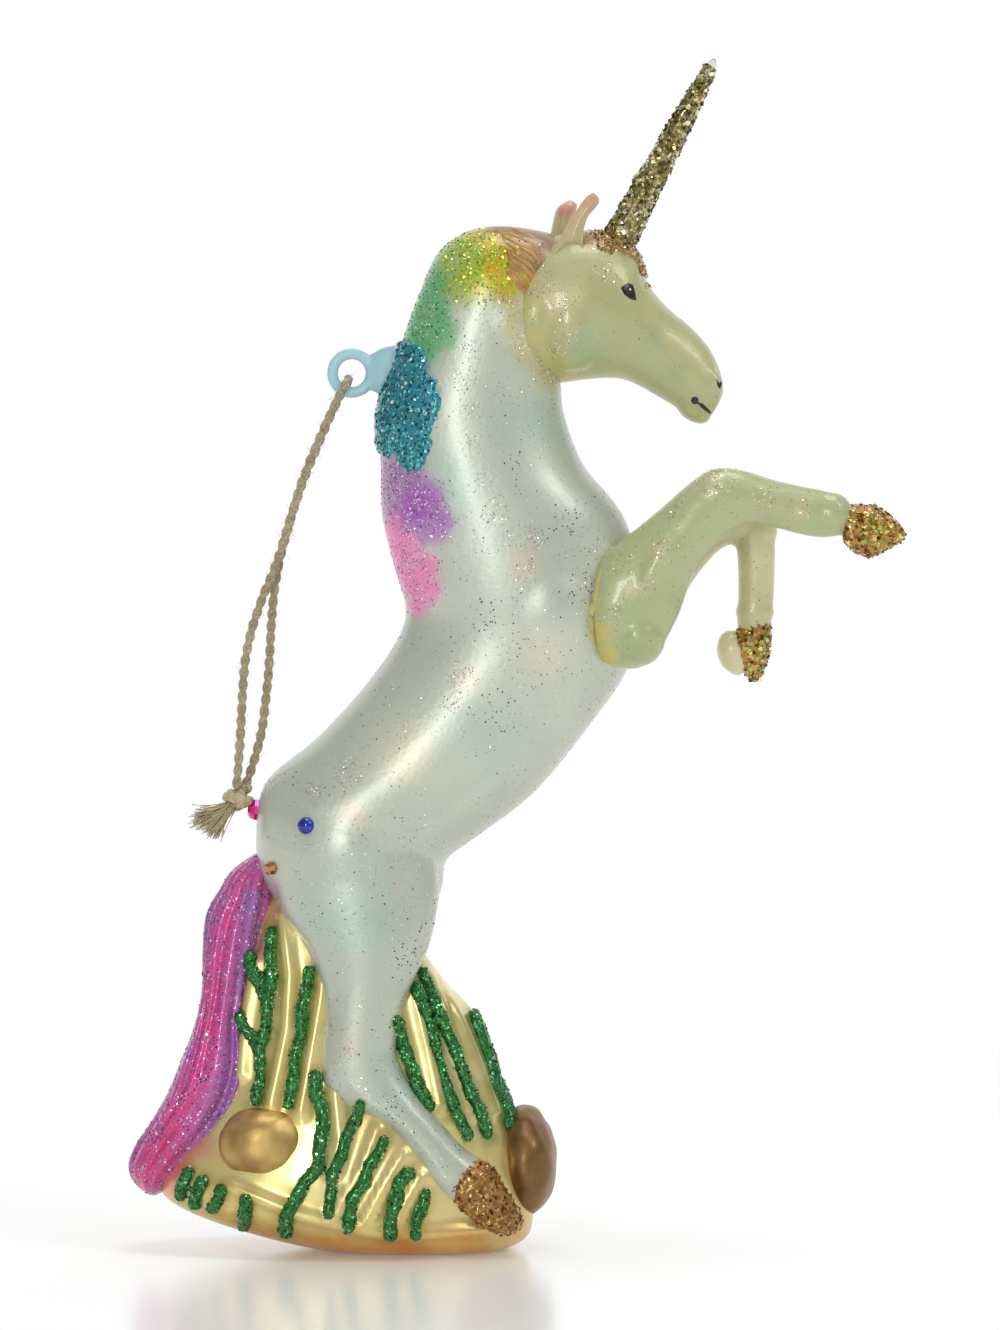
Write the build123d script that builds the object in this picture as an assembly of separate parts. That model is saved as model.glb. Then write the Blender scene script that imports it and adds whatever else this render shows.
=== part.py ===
from build123d import *
import math
import os

# A mouth-blown glass hanging ornament: a unicorn rearing on a rocky, grassy
# base. Millimetres, +Z up. The origin is the centre of the flat patch that the
# base stands on, +X points the way the unicorn looks and +Y is its far side.

# Blown body and base
BODY_HEIGHT = 143.0
TRUNK_WIDTH = 26.0
BASE_WIDTH = 31.0
TAIL_WIDTH = 15.0
WALL = 1.0
OUTLINE_POINTS = 12
NEAR_ROW_SHARE = 0.5625
FAR_ROW_SHARE = 0.0625
HOLE_DIAMETER = 6.0
SEAL_CLEARANCE = 0.1
SEAL_RECESS = 0.4
SEAL_HEIGHT = 1.6

# Head, ears and horn
HEAD_LENGTH = 28.6
HEAD_WIDTH = 17.6
EAR_LENGTH = 9.0
EAR_DEPTH = 1.6
EAR_WALL = 0.8
EAR_SPREAD = 5.4
GLUE_FILM = 0.1
HORN_LENGTH = 31.7
HORN_BASE_DIAMETER = 4.0
HORN_MIDDLE_DIAMETER = 3.0
HORN_TIP_DIAMETER = 1.0
HORN_LEAN = 28.9
HORN_CLEAR_TIP = 1.3
HORN_CRUST = 0.4

# Forelegs
FORELEG_LENGTH = 42.9
FORELEG_DEPTH = 4.0
FORELEG_SPREAD = 7.5

# Mane crust, gems, stones and grass
MANE_CRUST = 0.7
GRASS_WIDTH = 2.3
GRASS_HEIGHT = 1.4
GRASS_GAP = 0.3
GRASS_SIDES = 6
STONE_LENGTH = 13.0
STONE_HEIGHT = 10.2
STONE_DEPTH = 8.0
STONE_SPREAD = 10.6
FRONT_STONE_LENGTH = 8.8
FRONT_STONE_HEIGHT = 15.6
FRONT_STONE_WIDTH = 17.0
BLUE_GEM_DIAMETER = 2.4
BLUE_GEM_HEIGHT = 1.3
PINK_GEM_DIAMETER = 3.2
PINK_GEM_HEIGHT = 1.4
AMBER_GEM_LENGTH = 2.9
AMBER_GEM_WIDTH = 2.1
AMBER_GEM_HEIGHT = 1.2
GEM_FACETS = 8
GEM_TABLE_SHARE = 0.55
GEM_GIRDLE_SHARE = 0.35

# Hanging ring and cord
RING_BAR = 1.6
RING_BORE = 3.9
CORD_DIAMETER = 1.36
CORD_CLEARANCE = 0.3
KNOT_LENGTH = 4.4
KNOT_WIDTH = 3.6
TUFT_LENGTH = 6.4
TUFT_WIDTH = 3.4
OVERRUN = 1.0

# Outlines as hand-chosen shares. Each row of a blown form joins two points of
# its side outline, given as X and Z shares of BODY_HEIGHT, then its half depth
# as a share of the form's half width, then how square its section is: 2 is an
# oval, and more is boxier. The trunk's lower rows are both hind legs at once,
# because the base hides the middle of them.
TRUNK_SHARES = [
    (0.034, 0.052, 0.052, 0.080, 0.94, 3.2),
    (0.014, 0.066, 0.034, 0.100, 1.00, 3.2),
    (-0.004, 0.090, 0.020, 0.117, 1.04, 3.2),
    (-0.030, 0.125, 0.002, 0.141, 1.07, 3.2),
    (-0.064, 0.143, -0.022, 0.163, 1.08, 3.2),
    (-0.096, 0.166, -0.034, 0.187, 1.07, 3.2),
    (-0.101, 0.207, -0.036, 0.214, 1.04, 3.1),
    (-0.098, 0.250, -0.026, 0.253, 1.00, 2.9),
    (-0.104, 0.292, -0.010, 0.300, 0.97, 2.6),
    (-0.130, 0.335, 0.007, 0.335, 0.97, 2.3),
    (-0.157, 0.372, 0.016, 0.368, 0.99, 2.1),
    (-0.163, 0.415, 0.018, 0.392, 1.00, 2.0),
    (-0.153, 0.467, 0.043, 0.415, 0.98, 2.0),
    (-0.107, 0.513, 0.110, 0.458, 0.93, 2.0),
    (-0.053, 0.573, 0.167, 0.528, 0.88, 2.0),
    (-0.020, 0.630, 0.203, 0.582, 0.87, 2.0),
    (-0.030, 0.680, 0.223, 0.650, 0.87, 2.0),
    (-0.042, 0.732, 0.205, 0.725, 0.82, 2.0),
    (-0.045, 0.785, 0.160, 0.780, 0.76, 2.0),
    (-0.043, 0.840, 0.138, 0.838, 0.70, 2.0),
    (-0.027, 0.905, 0.136, 0.862, 0.66, 2.0),
    (-0.007, 0.952, 0.134, 0.885, 0.63, 2.0),
    (0.018, 0.999, 0.131, 0.912, 0.60, 2.0),
    (0.060, 1.022, 0.131, 0.935, 0.55, 2.0),
    (0.108, 1.006, 0.133, 0.955, 0.42, 2.0),
]
LEG_ROWS = 7
BASE_SHARES = [
    (-0.095, 0.000, 0.095, 0.000, 0.50, 2.2),
    (-0.203, 0.028, 0.105, 0.014, 0.84, 2.2),
    (-0.265, 0.058, 0.110, 0.045, 1.00, 2.2),
    (-0.227, 0.155, 0.082, 0.142, 0.84, 2.2),
    (-0.190, 0.265, 0.047, 0.237, 0.67, 2.0),
    (-0.145, 0.345, -0.001, 0.295, 0.50, 2.0),
]
TAIL_SHARES = [
    (-0.140, 0.420, -0.105, 0.395, 0.35, 2.0),
    (-0.188, 0.388, -0.163, 0.358, 0.55, 2.0),
    (-0.206, 0.358, -0.163, 0.335, 0.75, 2.0),
    (-0.220, 0.320, -0.167, 0.305, 0.85, 2.0),
    (-0.223, 0.265, -0.173, 0.260, 0.90, 2.0),
    (-0.234, 0.212, -0.178, 0.210, 0.95, 2.0),
    (-0.253, 0.162, -0.189, 0.150, 1.00, 2.0),
    (-0.277, 0.126, -0.213, 0.102, 1.05, 2.0),
    (-0.295, 0.092, -0.240, 0.072, 1.00, 2.0),
    (-0.295, 0.070, -0.260, 0.054, 0.80, 2.0),
    (-0.283, 0.056, -0.269, 0.050, 0.40, 2.0),
]
HIND_HOOF_SHARES = [
    (0.024, 0.050, 0.039, 0.104, 1.06, 3.4),
    (0.037, 0.041, 0.063, 0.085, 1.04, 3.4),
    (0.059, 0.024, 0.085, 0.058, 0.96, 3.4),
    (0.077, 0.019, 0.096, 0.038, 0.84, 3.4),
]

# Head rows start at the middle of the neck joint and are shares of HEAD_LENGTH.
HEAD_PLACE_SHARE = (0.110, 0.925)
HEAD_SHARES = [
    (-0.075, 0.335, 0.015, -0.265, 0.90, 2.0),
    (0.105, 0.455, 0.105, -0.305, 1.00, 2.0),
    (0.315, 0.475, 0.225, -0.280, 1.00, 2.0),
    (0.505, 0.335, 0.335, -0.270, 0.92, 2.0),
    (0.575, 0.165, 0.425, -0.295, 0.80, 2.0),
    (0.685, 0.060, 0.535, -0.325, 0.64, 2.0),
    (0.805, -0.045, 0.645, -0.390, 0.55, 2.0),
    (0.895, -0.165, 0.725, -0.440, 0.52, 2.0),
    (0.935, -0.285, 0.795, -0.465, 0.47, 2.0),
    (0.940, -0.385, 0.865, -0.465, 0.28, 2.0),
]
HORN_PLACE_SHARE = (0.355, 0.343)

# Ear rows are shares of EAR_LENGTH from the ear's root, which is a share of
# HEAD_LENGTH from the neck joint, and end with a share of the ear's depth.
NEAR_EAR_PLACE_SHARE = (0.155, 0.375)
FAR_EAR_PLACE_SHARE = (0.105, 0.375)
NEAR_EAR_SHARES = [
    (-0.22, -0.30, 0.15, -0.30, 0.90),
    (-0.19, 0.08, 0.15, 0.06, 1.00),
    (-0.10, 0.40, 0.26, 0.26, 1.00),
    (0.02, 0.60, 0.34, 0.42, 0.85),
    (0.22, 0.74, 0.44, 0.60, 0.56),
    (0.36, 0.84, 0.47, 0.72, 0.24),
]
FAR_EAR_SHARES = [
    (-0.20, -0.30, 0.22, -0.30, 0.90),
    (-0.14, 0.08, 0.26, 0.08, 1.00),
    (-0.06, 0.36, 0.30, 0.32, 1.00),
    (-0.02, 0.56, 0.32, 0.50, 0.85),
    (0.10, 0.71, 0.32, 0.64, 0.56),
    (0.18, 0.75, 0.28, 0.72, 0.24),
]

# Foreleg rows start at the shoulder and are shares of FORELEG_LENGTH, and end
# with the place of their middle as a share of FORELEG_SPREAD.
SHOULDER_SHARE = (0.187, 0.650)
NEAR_LEG_SHARES = [
    (-0.060, 0.147, -0.040, -0.213, 1.15, 2.0, 1.00),
    (0.007, 0.200, 0.127, -0.200, 1.35, 2.0, 1.00),
    (0.167, 0.327, 0.267, 0.087, 1.05, 2.0, 0.98),
    (0.313, 0.443, 0.387, 0.247, 0.90, 2.0, 0.92),
    (0.520, 0.410, 0.543, 0.247, 0.80, 2.0, 0.88),
    (0.720, 0.360, 0.697, 0.207, 0.72, 2.0, 0.84),
    (0.793, 0.307, 0.770, 0.217, 0.55, 2.0, 0.83),
    (0.893, 0.277, 0.867, 0.183, 0.50, 2.0, 0.82),
]
NEAR_HOOF_SHARES = [
    (0.767, 0.315, 0.753, 0.197, 0.74, 2.4, 0.84),
    (0.820, 0.320, 0.803, 0.147, 0.88, 2.4, 0.83),
    (0.907, 0.293, 0.853, 0.143, 0.84, 2.4, 0.82),
    (0.957, 0.250, 0.920, 0.183, 0.55, 2.4, 0.80),
]
FAR_ARM_SHARES = [
    (-0.060, 0.113, -0.033, -0.213, 1.10, 2.0, -1.00),
    (0.067, 0.180, 0.153, -0.107, 1.15, 2.0, -1.00),
    (0.187, 0.267, 0.280, 0.080, 1.00, 2.0, -1.00),
    (0.307, 0.327, 0.373, 0.160, 0.90, 2.0, -0.97),
    (0.420, 0.345, 0.432, 0.175, 0.84, 2.0, -0.94),
    (0.500, 0.318, 0.478, 0.195, 0.70, 2.0, -0.92),
]
FAR_SHIN_SHARES = [
    (0.405, 0.215, 0.525, 0.295, 0.74, 2.0, -0.92),
    (0.425, 0.150, 0.550, 0.180, 0.76, 2.0, -0.91),
    (0.423, 0.080, 0.550, 0.090, 0.73, 2.0, -0.90),
    (0.420, -0.007, 0.547, 0.000, 0.70, 2.0, -0.88),
    (0.420, -0.100, 0.530, -0.107, 0.62, 2.0, -0.86),
    (0.433, -0.183, 0.507, -0.183, 0.50, 2.0, -0.86),
]
FAR_HOOF_SHARES = [
    (0.420, -0.087, 0.530, -0.087, 0.76, 2.4, -0.86),
    (0.380, -0.160, 0.530, -0.155, 0.88, 2.4, -0.86),
    (0.383, -0.235, 0.503, -0.235, 0.76, 2.4, -0.86),
    (0.433, -0.272, 0.477, -0.272, 0.45, 2.4, -0.86),
]

# Places of what is stuck on, as X and Z shares of BODY_HEIGHT
MANE_CRUST_SHARES = [
    (-0.060, 0.915),
    (-0.030, 0.915),
    (-0.010, 0.900),
    (0.002, 0.880),
    (0.013, 0.855),
    (0.011, 0.830),
    (0.000, 0.808),
    (-0.007, 0.782),
    (-0.026, 0.779),
    (-0.036, 0.796),
    (-0.060, 0.795),
]
GRASS_SHARES = [
    [(-0.153, 0.318), (-0.154, 0.285), (-0.158, 0.245), (-0.164, 0.205), (-0.171, 0.160)],
    [(-0.113, 0.282), (-0.121, 0.245), (-0.127, 0.205), (-0.137, 0.158)],
    [(-0.113, 0.172), (-0.107, 0.135), (-0.103, 0.092), (-0.122, 0.066), (-0.143, 0.030)],
    [(-0.066, 0.132), (-0.078, 0.108), (-0.090, 0.080), (-0.101, 0.046)],
    [(-0.044, 0.108), (-0.055, 0.085), (-0.073, 0.058), (-0.077, 0.030)],
    [(-0.020, 0.082), (-0.030, 0.055), (-0.036, 0.022)],
    [(-0.003, 0.060), (-0.009, 0.022)],
    [(-0.222, 0.078), (-0.227, 0.052)],
    [(-0.200, 0.068), (-0.209, 0.045)],
    [(-0.175, 0.058), (-0.179, 0.032)],
    [(-0.020, 0.232), (-0.008, 0.190), (0.006, 0.155)],
    [(0.003, 0.256), (0.012, 0.222), (0.019, 0.180), (0.038, 0.124)],
    [(0.024, 0.244), (0.034, 0.210), (0.047, 0.165), (0.060, 0.126)],
    [(0.046, 0.216), (0.060, 0.175), (0.072, 0.142)],
]
GRASS_END_SHARE = 0.5
STONE_SHARE = (-0.163, 0.114)
FRONT_STONE_SHARE = (0.101, 0.090)
HOLE_SHARE = -0.060
PINK_GEM_SHARE = 0.440
BLUE_GEM_SHARE = (-0.117, 0.429)
AMBER_GEM_SHARE = (-0.152, 0.385)
RING_SHARE = (-0.073, 0.876)
RING_FOOT_SHARE = (-0.020, 0.876)

# Route of the cord's loop, in millimetres: X from the ring's middle, Y, and Z
# from the ring's middle. It leaves the knot on the near side, turns through the
# ring and comes back on the far side.
CORD_ROUTE = [
    (-16.5, -0.80, -59.3),
    (-16.0, -0.95, -53.2),
    (-15.7, -1.05, -46.6),
    (-15.2, -1.15, -39.8),
    (-13.3, -1.20, -33.2),
    (-10.6, -1.15, -27.0),
    (-8.8, -1.10, -20.8),
    (-6.7, -1.10, -14.6),
    (-4.2, -1.25, -8.8),
    (-2.6, -1.70, -4.9),
]
CORD_RETURN = [
    (-2.8, 1.75, -5.2),
    (-4.6, 1.25, -9.3),
    (-7.1, 1.05, -15.2),
    (-9.0, 1.00, -21.5),
    (-10.7, 1.05, -27.8),
    (-11.5, 1.10, -34.2),
    (-11.8, 1.10, -40.9),
    (-12.4, 1.00, -47.4),
    (-13.3, 0.90, -53.6),
    (-15.3, 0.80, -59.1),
]
KNOT_PLACE = (-16.3, 0.0, -60.6)
TUFT_TURN = 232.0
CORD_HANG_ANGLE = 62.0


def place(share):
    """Turn X and Z shares of the body height into millimetres."""
    return share[0] * BODY_HEIGHT, share[1] * BODY_HEIGHT


def offset_place(origin, share, length):
    """Go from a place by X and Z shares of a length."""
    return origin[0] + share[0] * length, origin[1] + share[1] * length


def section(first, second, half_depth, square, middle_y, inset):
    """Closed face whose long axis joins two points of the side outline."""
    start = Vector(first[0], middle_y, first[1])
    end = Vector(second[0], middle_y, second[1])
    across = (end - start).normalized()
    plane = Plane(
        origin=(start + end) / 2,
        x_dir=across,
        z_dir=across.cross(Vector(0, 1, 0)),
    )
    half_length = (end - start).length / 2 - inset
    points = []
    for number in range(OUTLINE_POINTS):
        angle = 2 * math.pi * number / OUTLINE_POINTS
        cosine = math.cos(angle)
        sine = math.sin(angle)
        along = math.copysign(abs(cosine) ** (2 / square), cosine)
        aside = math.copysign(abs(sine) ** (2 / square), sine)
        points.append((half_length * along, (half_depth - inset) * aside))
    corners = [Vector(*point) for point in points]
    steps = [number / OUTLINE_POINTS for number in range(OUTLINE_POINTS + 1)]
    return plane * make_face(Edge.make_spline(corners, periodic=True, parameters=steps))


def eased(rows):
    """Rows with a smooth one between each two, so that a loft keeps its line."""
    smooth = []
    for number, row in enumerate(rows[:-1]):
        before = rows[max(number - 1, 0)]
        after = rows[number + 1]
        beyond = rows[min(number + 2, len(rows) - 1)]
        middle = []
        for far, near, close, away in zip(before, row, after, beyond):
            middle.append(NEAR_ROW_SHARE * (near + close) - FAR_ROW_SHARE * (far + away))
        smooth.extend([row, tuple(middle)])
    return smooth + [rows[-1]]


def form(rows, origin, length, half_depth, spread=0.0, inset=0.0):
    """Loft through rows of shares, thinned all round by an inset."""
    faces = []
    for row in rows:
        first = offset_place(origin, row[0:2], length)
        second = offset_place(origin, row[2:4], length)
        middle_y = -spread * row[6] if len(row) > 6 else -spread
        faces.append(section(first, second, row[4] * half_depth, row[5], middle_y, inset))
    return loft(faces)


def surface_frame(solid, start, direction):
    """Plane on the first place where a ray meets a solid, or none."""
    ray = Axis(start, direction)
    hits = []
    for face in solid.faces():
        hits.extend(face.find_intersection_points(ray))
    if not hits:
        return None
    nearest = min(hits, key=lambda hit: (hit[0] - Vector(start)).length)
    normal = nearest[1]
    if normal.dot(Vector(direction)) > 0:
        normal = normal * -1
    return Plane(origin=nearest[0], z_dir=normal)


def through_side(face):
    """Prism of a face drawn in X and Z, right through the figure's width."""
    return extrude(Plane.XZ * face, amount=BASE_WIDTH, both=True)


def save(name, shape):
    """Write one node."""
    export_step(Compound(children=list(shape.solids())), os.path.join("parts", name + ".step"))


os.makedirs("parts", exist_ok=True)
GROUND = (0.0, 0.0)

# Blown body: neck, trunk and both hind legs in one form, hollow, and open into
# the base that it stands in
trunk_outer = form(TRUNK_SHARES, GROUND, BODY_HEIGHT, TRUNK_WIDTH / 2)
trunk_inner = form(TRUNK_SHARES[LEG_ROWS:], GROUND, BODY_HEIGHT, TRUNK_WIDTH / 2, inset=WALL)
base_outer = form(BASE_SHARES, GROUND, BODY_HEIGHT, BASE_WIDTH / 2)
base_inner = form(BASE_SHARES, (0.0, WALL), BODY_HEIGHT, BASE_WIDTH / 2, inset=WALL)
tail_outer = form(TAIL_SHARES, GROUND, BODY_HEIGHT, TAIL_WIDTH / 2)
tail_inner = form(TAIL_SHARES[1:-1], GROUND, BODY_HEIGHT, TAIL_WIDTH / 2, inset=WALL)
body_shell = trunk_outer - trunk_inner - base_inner
tail_shell = tail_outer - trunk_outer - tail_inner
base_shell = base_outer - base_inner - trunk_outer - tail_outer

# The blow hole under the base, closed by a seal that stays clear of the ground
hole_place = Pos(HOLE_SHARE * BODY_HEIGHT, 0, 0)
base_shell = base_shell - hole_place * Cylinder(HOLE_DIAMETER / 2, 2 * (WALL + OVERRUN))
seal = Cylinder(
    HOLE_DIAMETER / 2 - SEAL_CLEARANCE,
    SEAL_HEIGHT,
    align=(Align.CENTER, Align.CENTER, Align.MIN),
)
blow_hole_seal = hole_place * Pos(0, 0, SEAL_RECESS) * seal

# Stones, bulges of the base that are painted brown
stone_x, stone_z = place(STONE_SHARE)
stone_size = (STONE_LENGTH / 2, STONE_DEPTH / 2, STONE_HEIGHT / 2)
stone = scale(Sphere(1), by=stone_size)
stones = {}
for name, side in (("near", -1), ("far", 1)):
    whole = Pos(stone_x, side * STONE_SPREAD, stone_z) * stone
    stones[name] = whole - base_outer - tail_outer
front_x, front_z = place(FRONT_STONE_SHARE)
front_size = (FRONT_STONE_LENGTH / 2, FRONT_STONE_WIDTH / 2, FRONT_STONE_HEIGHT / 2)
front_stone = Pos(front_x, 0, front_z) * scale(Sphere(1), by=front_size)
front_stone = front_stone - base_outer

# Hind hooves, one glittered cap on each side
hind_hooves = form(HIND_HOOF_SHARES, GROUND, BODY_HEIGHT, TRUNK_WIDTH / 2)
hind_hooves = hind_hooves - trunk_outer - base_outer - front_stone
hind_hooves = hind_hooves.solids().sort_by(Axis.Y)

# Head, glued over the open end of the neck
head_place = place(HEAD_PLACE_SHARE)
head_outer = form(eased(HEAD_SHARES), head_place, HEAD_LENGTH, HEAD_WIDTH / 2)
head_inner = form(eased(HEAD_SHARES[1:-1]), head_place, HEAD_LENGTH, HEAD_WIDTH / 2, inset=WALL)
head = head_outer - trunk_outer - head_inner


def near_ear(rows, share):
    """Crescent-sectioned ear, scooped outside, with its root flat on the head."""
    root = offset_place(head_place, share, HEAD_LENGTH)
    faces = []
    for row in rows:
        first = offset_place(root, row[0:2], EAR_LENGTH)
        second = offset_place(root, row[2:4], EAR_LENGTH)
        start = Vector(first[0], -EAR_SPREAD, first[1])
        end = Vector(second[0], -EAR_SPREAD, second[1])
        middle = (start + end) / 2
        inward = Vector(0, row[4], 0)
        back = ThreePointArc(start, middle + inward * EAR_DEPTH, end)
        front = ThreePointArc(end, middle + inward * (EAR_DEPTH - EAR_WALL), start)
        faces.append(make_face([back.edge(), front.edge()]))
    above = (faces[0].center().X, faces[0].center().Y, BODY_HEIGHT + EAR_LENGTH)
    skin = surface_frame(head_outer, above, (0, 0, -1))
    root_cut = Box(
        EAR_LENGTH,
        EAR_LENGTH,
        EAR_LENGTH,
        align=(Align.CENTER, Align.CENTER, Align.MAX),
    )
    return loft(faces) - skin * Pos(0, 0, GLUE_FILM) * root_cut


ear_near = near_ear(NEAR_EAR_SHARES, NEAR_EAR_PLACE_SHARE)
ear_far = mirror(near_ear(FAR_EAR_SHARES, FAR_EAR_PLACE_SHARE), Plane.XZ)


def horn_form(length, thickness):
    """Tapering, slightly bellied spike along +Z, thickened by a coat."""
    radii = []
    for along, diameter in (
        (0.0, HORN_BASE_DIAMETER),
        (HORN_LENGTH / 2, HORN_MIDDLE_DIAMETER),
        (HORN_LENGTH, HORN_TIP_DIAMETER),
    ):
        radii.append((diameter / 2 + thickness, along))
    side = Spline(radii)
    outline = Polyline(radii[-1], (0, HORN_LENGTH), (0, 0), radii[0])
    spike = revolve(Plane.XZ * make_face([side] + outline.edges()), Axis.Z)
    cap = Pos(0, 0, length) * Cylinder(
        HORN_BASE_DIAMETER,
        HORN_LENGTH,
        align=(Align.CENTER, Align.CENTER, Align.MIN),
    )
    return spike - cap


# Horn, a glass spike with a clear tip, and its sleeve of coarse glitter
horn_root = offset_place(head_place, HORN_PLACE_SHARE, HEAD_LENGTH)
horn_lean = math.radians(HORN_LEAN)
horn_plane = Plane(
    origin=(horn_root[0], 0, horn_root[1]),
    z_dir=(math.sin(horn_lean), 0, math.cos(horn_lean)),
)
horn_spike = horn_plane * horn_form(HORN_LENGTH, 0.0)
horn = horn_spike - head_outer
horn_coat = horn_plane * horn_form(HORN_LENGTH - HORN_CLEAR_TIP, HORN_CRUST)
horn_coat = horn_coat - head_outer - horn_spike

# Forelegs with glittered hooves, glued to the shoulders
shoulder = place(SHOULDER_SHARE)


def foreleg_form(rows):
    """Loft of one stretch of a foreleg."""
    return form(rows, shoulder, FORELEG_LENGTH, FORELEG_DEPTH, FORELEG_SPREAD)


near_leg_form = foreleg_form(NEAR_LEG_SHARES)
far_leg_form = foreleg_form(FAR_ARM_SHARES) + foreleg_form(FAR_SHIN_SHARES)
foreleg_near = near_leg_form - trunk_outer
foreleg_far = far_leg_form - trunk_outer
fore_hoof_near = foreleg_form(NEAR_HOOF_SHARES) - near_leg_form
fore_hoof_far = foreleg_form(FAR_HOOF_SHARES) - far_leg_form

# Hanging ring in the middle plane, with a foot fused to the back of the neck
ring_x, ring_z = place(RING_SHARE)
ring_middle = Pos(ring_x, 0, ring_z)
bar_circle_radius = (RING_BORE + RING_BAR) / 2
ring = ring_middle * Rot(90, 0, 0) * Torus(bar_circle_radius, RING_BAR / 2)
foot_end = RING_FOOT_SHARE[0] * BODY_HEIGHT
foot_start = ring_x + bar_circle_radius
foot = loft([
    Pos(foot_start, 0, ring_z) * Rot(0, 90, 0) * Ellipse(RING_BAR, RING_BAR / 2),
    Pos(foot_end, 0, ring_z) * Rot(0, 90, 0) * Ellipse(RING_BAR * 2, RING_BAR),
])
hanging_ring = ring + foot - trunk_outer

# Crust of coarse glitter that stands proud of the mane on both sides
neck_rows = TRUNK_SHARES[LEG_ROWS + 8:LEG_ROWS + 17]
neck_skin = form(neck_rows, GROUND, BODY_HEIGHT, TRUNK_WIDTH / 2, inset=-MANE_CRUST)
crust_points = [place(share) for share in MANE_CRUST_SHARES]
crust_prism = through_side(make_face(Polyline(crust_points, close=True)))
mane_crust = (neck_skin & crust_prism) - trunk_outer - hanging_ring


def resting_frame(share, side):
    """Plane on the outermost of the blown forms at one place."""
    x, z = place(share)
    frames = []
    for solid in (base_outer, trunk_outer, tail_outer):
        frame = surface_frame(solid, (x, side * BODY_HEIGHT, z), (0, -side, 0))
        if frame:
            frames.append(frame)
    return max(frames, key=lambda frame: side * frame.origin.Y)


def grass_bead(shares, side):
    """Bead of glue with blunt ends, lying along the base."""
    places = [shares[0]]
    for before, after in zip(shares, shares[1:]):
        places.append(((before[0] + after[0]) / 2, (before[1] + after[1]) / 2))
        places.append(after)
    frames = [resting_frame(share, side) for share in places]
    lines = [frame.origin + frame.z_dir * (GRASS_HEIGHT / 2 + GRASS_GAP) for frame in frames]
    step = GRASS_WIDTH / 2
    first = lines[0] + (lines[1] - lines[0]).normalized() * step
    last = lines[-1] + (lines[-2] - lines[-1]).normalized() * step
    lines = [lines[0], first] + lines[1:-1] + [last, lines[-1]]
    frames = [frames[0]] + frames + [frames[-1]]
    faces = []
    for number, middle in enumerate(lines):
        before = lines[max(number - 1, 0)]
        after = lines[min(number + 1, len(lines) - 1)]
        share = GRASS_END_SHARE if number in (0, len(lines) - 1) else 1.0
        along = (after - before).normalized()
        aside = along.cross(frames[number].z_dir).normalized()
        points = []
        for corner in range(GRASS_SIDES):
            angle = 2 * math.pi * corner / GRASS_SIDES
            across = share * GRASS_WIDTH / 2 * math.cos(angle)
            points.append((across, share * GRASS_HEIGHT / 2 * math.sin(angle)))
        plane = Plane(origin=middle, x_dir=aside, z_dir=along)
        faces.append(plane * make_face(Polyline(points, close=True)))
    return loft(faces, ruled=True)


# Grass, beads of glittered glue along the base
grass_near = [grass_bead(shares, -1) for shares in GRASS_SHARES]
grass_far = [grass_bead(shares, 1) for shares in GRASS_SHARES]


def faceted_gem(length, width, height):
    """Flat-backed stone with a girdle, a ring of facets and a table."""
    faces = []
    for share, up in ((1.0, -height), (1.0, GEM_GIRDLE_SHARE * height), (GEM_TABLE_SHARE, height)):
        points = []
        for number in range(GEM_FACETS):
            angle = 2 * math.pi * (number + 0.5) / GEM_FACETS
            points.append((share * length / 2 * math.cos(angle), share * width / 2 * math.sin(angle)))
        faces.append(Pos(0, 0, up) * make_face(Polyline(points, close=True)))
    return loft(faces, ruled=True)


def side_gem(shape, share, side):
    """Stick a gem on one flank."""
    x, z = place(share)
    frame = surface_frame(trunk_outer, (x, side * BASE_WIDTH, z), (0, -side, 0))
    return frame * shape - trunk_outer


# Glued gems
blue_size = (BLUE_GEM_DIAMETER / 2, BLUE_GEM_DIAMETER / 2, BLUE_GEM_HEIGHT)
blue_shape = scale(Sphere(1), by=blue_size)
amber_shape = faceted_gem(AMBER_GEM_WIDTH, AMBER_GEM_LENGTH, AMBER_GEM_HEIGHT)
pink_shape = faceted_gem(PINK_GEM_DIAMETER, PINK_GEM_DIAMETER, PINK_GEM_HEIGHT)
gems = {}
for name, side in (("near", -1), ("far", 1)):
    gems["gem_blue_" + name] = side_gem(blue_shape, BLUE_GEM_SHARE, side)
    gems["gem_amber_" + name] = side_gem(amber_shape, AMBER_GEM_SHARE, side)
pink_frame = surface_frame(trunk_outer, (-BODY_HEIGHT, 0, PINK_GEM_SHARE * BODY_HEIGHT), (1, 0, 0))
gems["gem_pink"] = pink_frame * pink_shape - trunk_outer


def cord_path():
    """Straight runs joined by tangent arcs, knot to knot through the ring."""
    hang = math.radians(CORD_HANG_ANGLE)
    aside = (RING_BAR + CORD_DIAMETER) / 2 + CORD_CLEARANCE
    reach = bar_circle_radius - aside
    turn_x = -reach * math.cos(hang)
    turn_z = -reach * math.sin(hang)
    route = CORD_ROUTE + [(turn_x, -aside, turn_z), (turn_x, aside, turn_z)] + CORD_RETURN
    points = [Vector(ring_x + x, y, ring_z + z) for x, y, z in route]
    radii = []
    for before, point, after in zip(points, points[1:], points[2:]):
        turn = math.radians((point - before).get_angle(after - point))
        shorter = min((point - before).length, (after - point).length)
        radii.append(0.45 * shorter / math.tan(turn / 2))
    print("cord radii", [round(radius, 1) for radius in radii])
    return FilletPolyline(*points, radius=radii)


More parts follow.
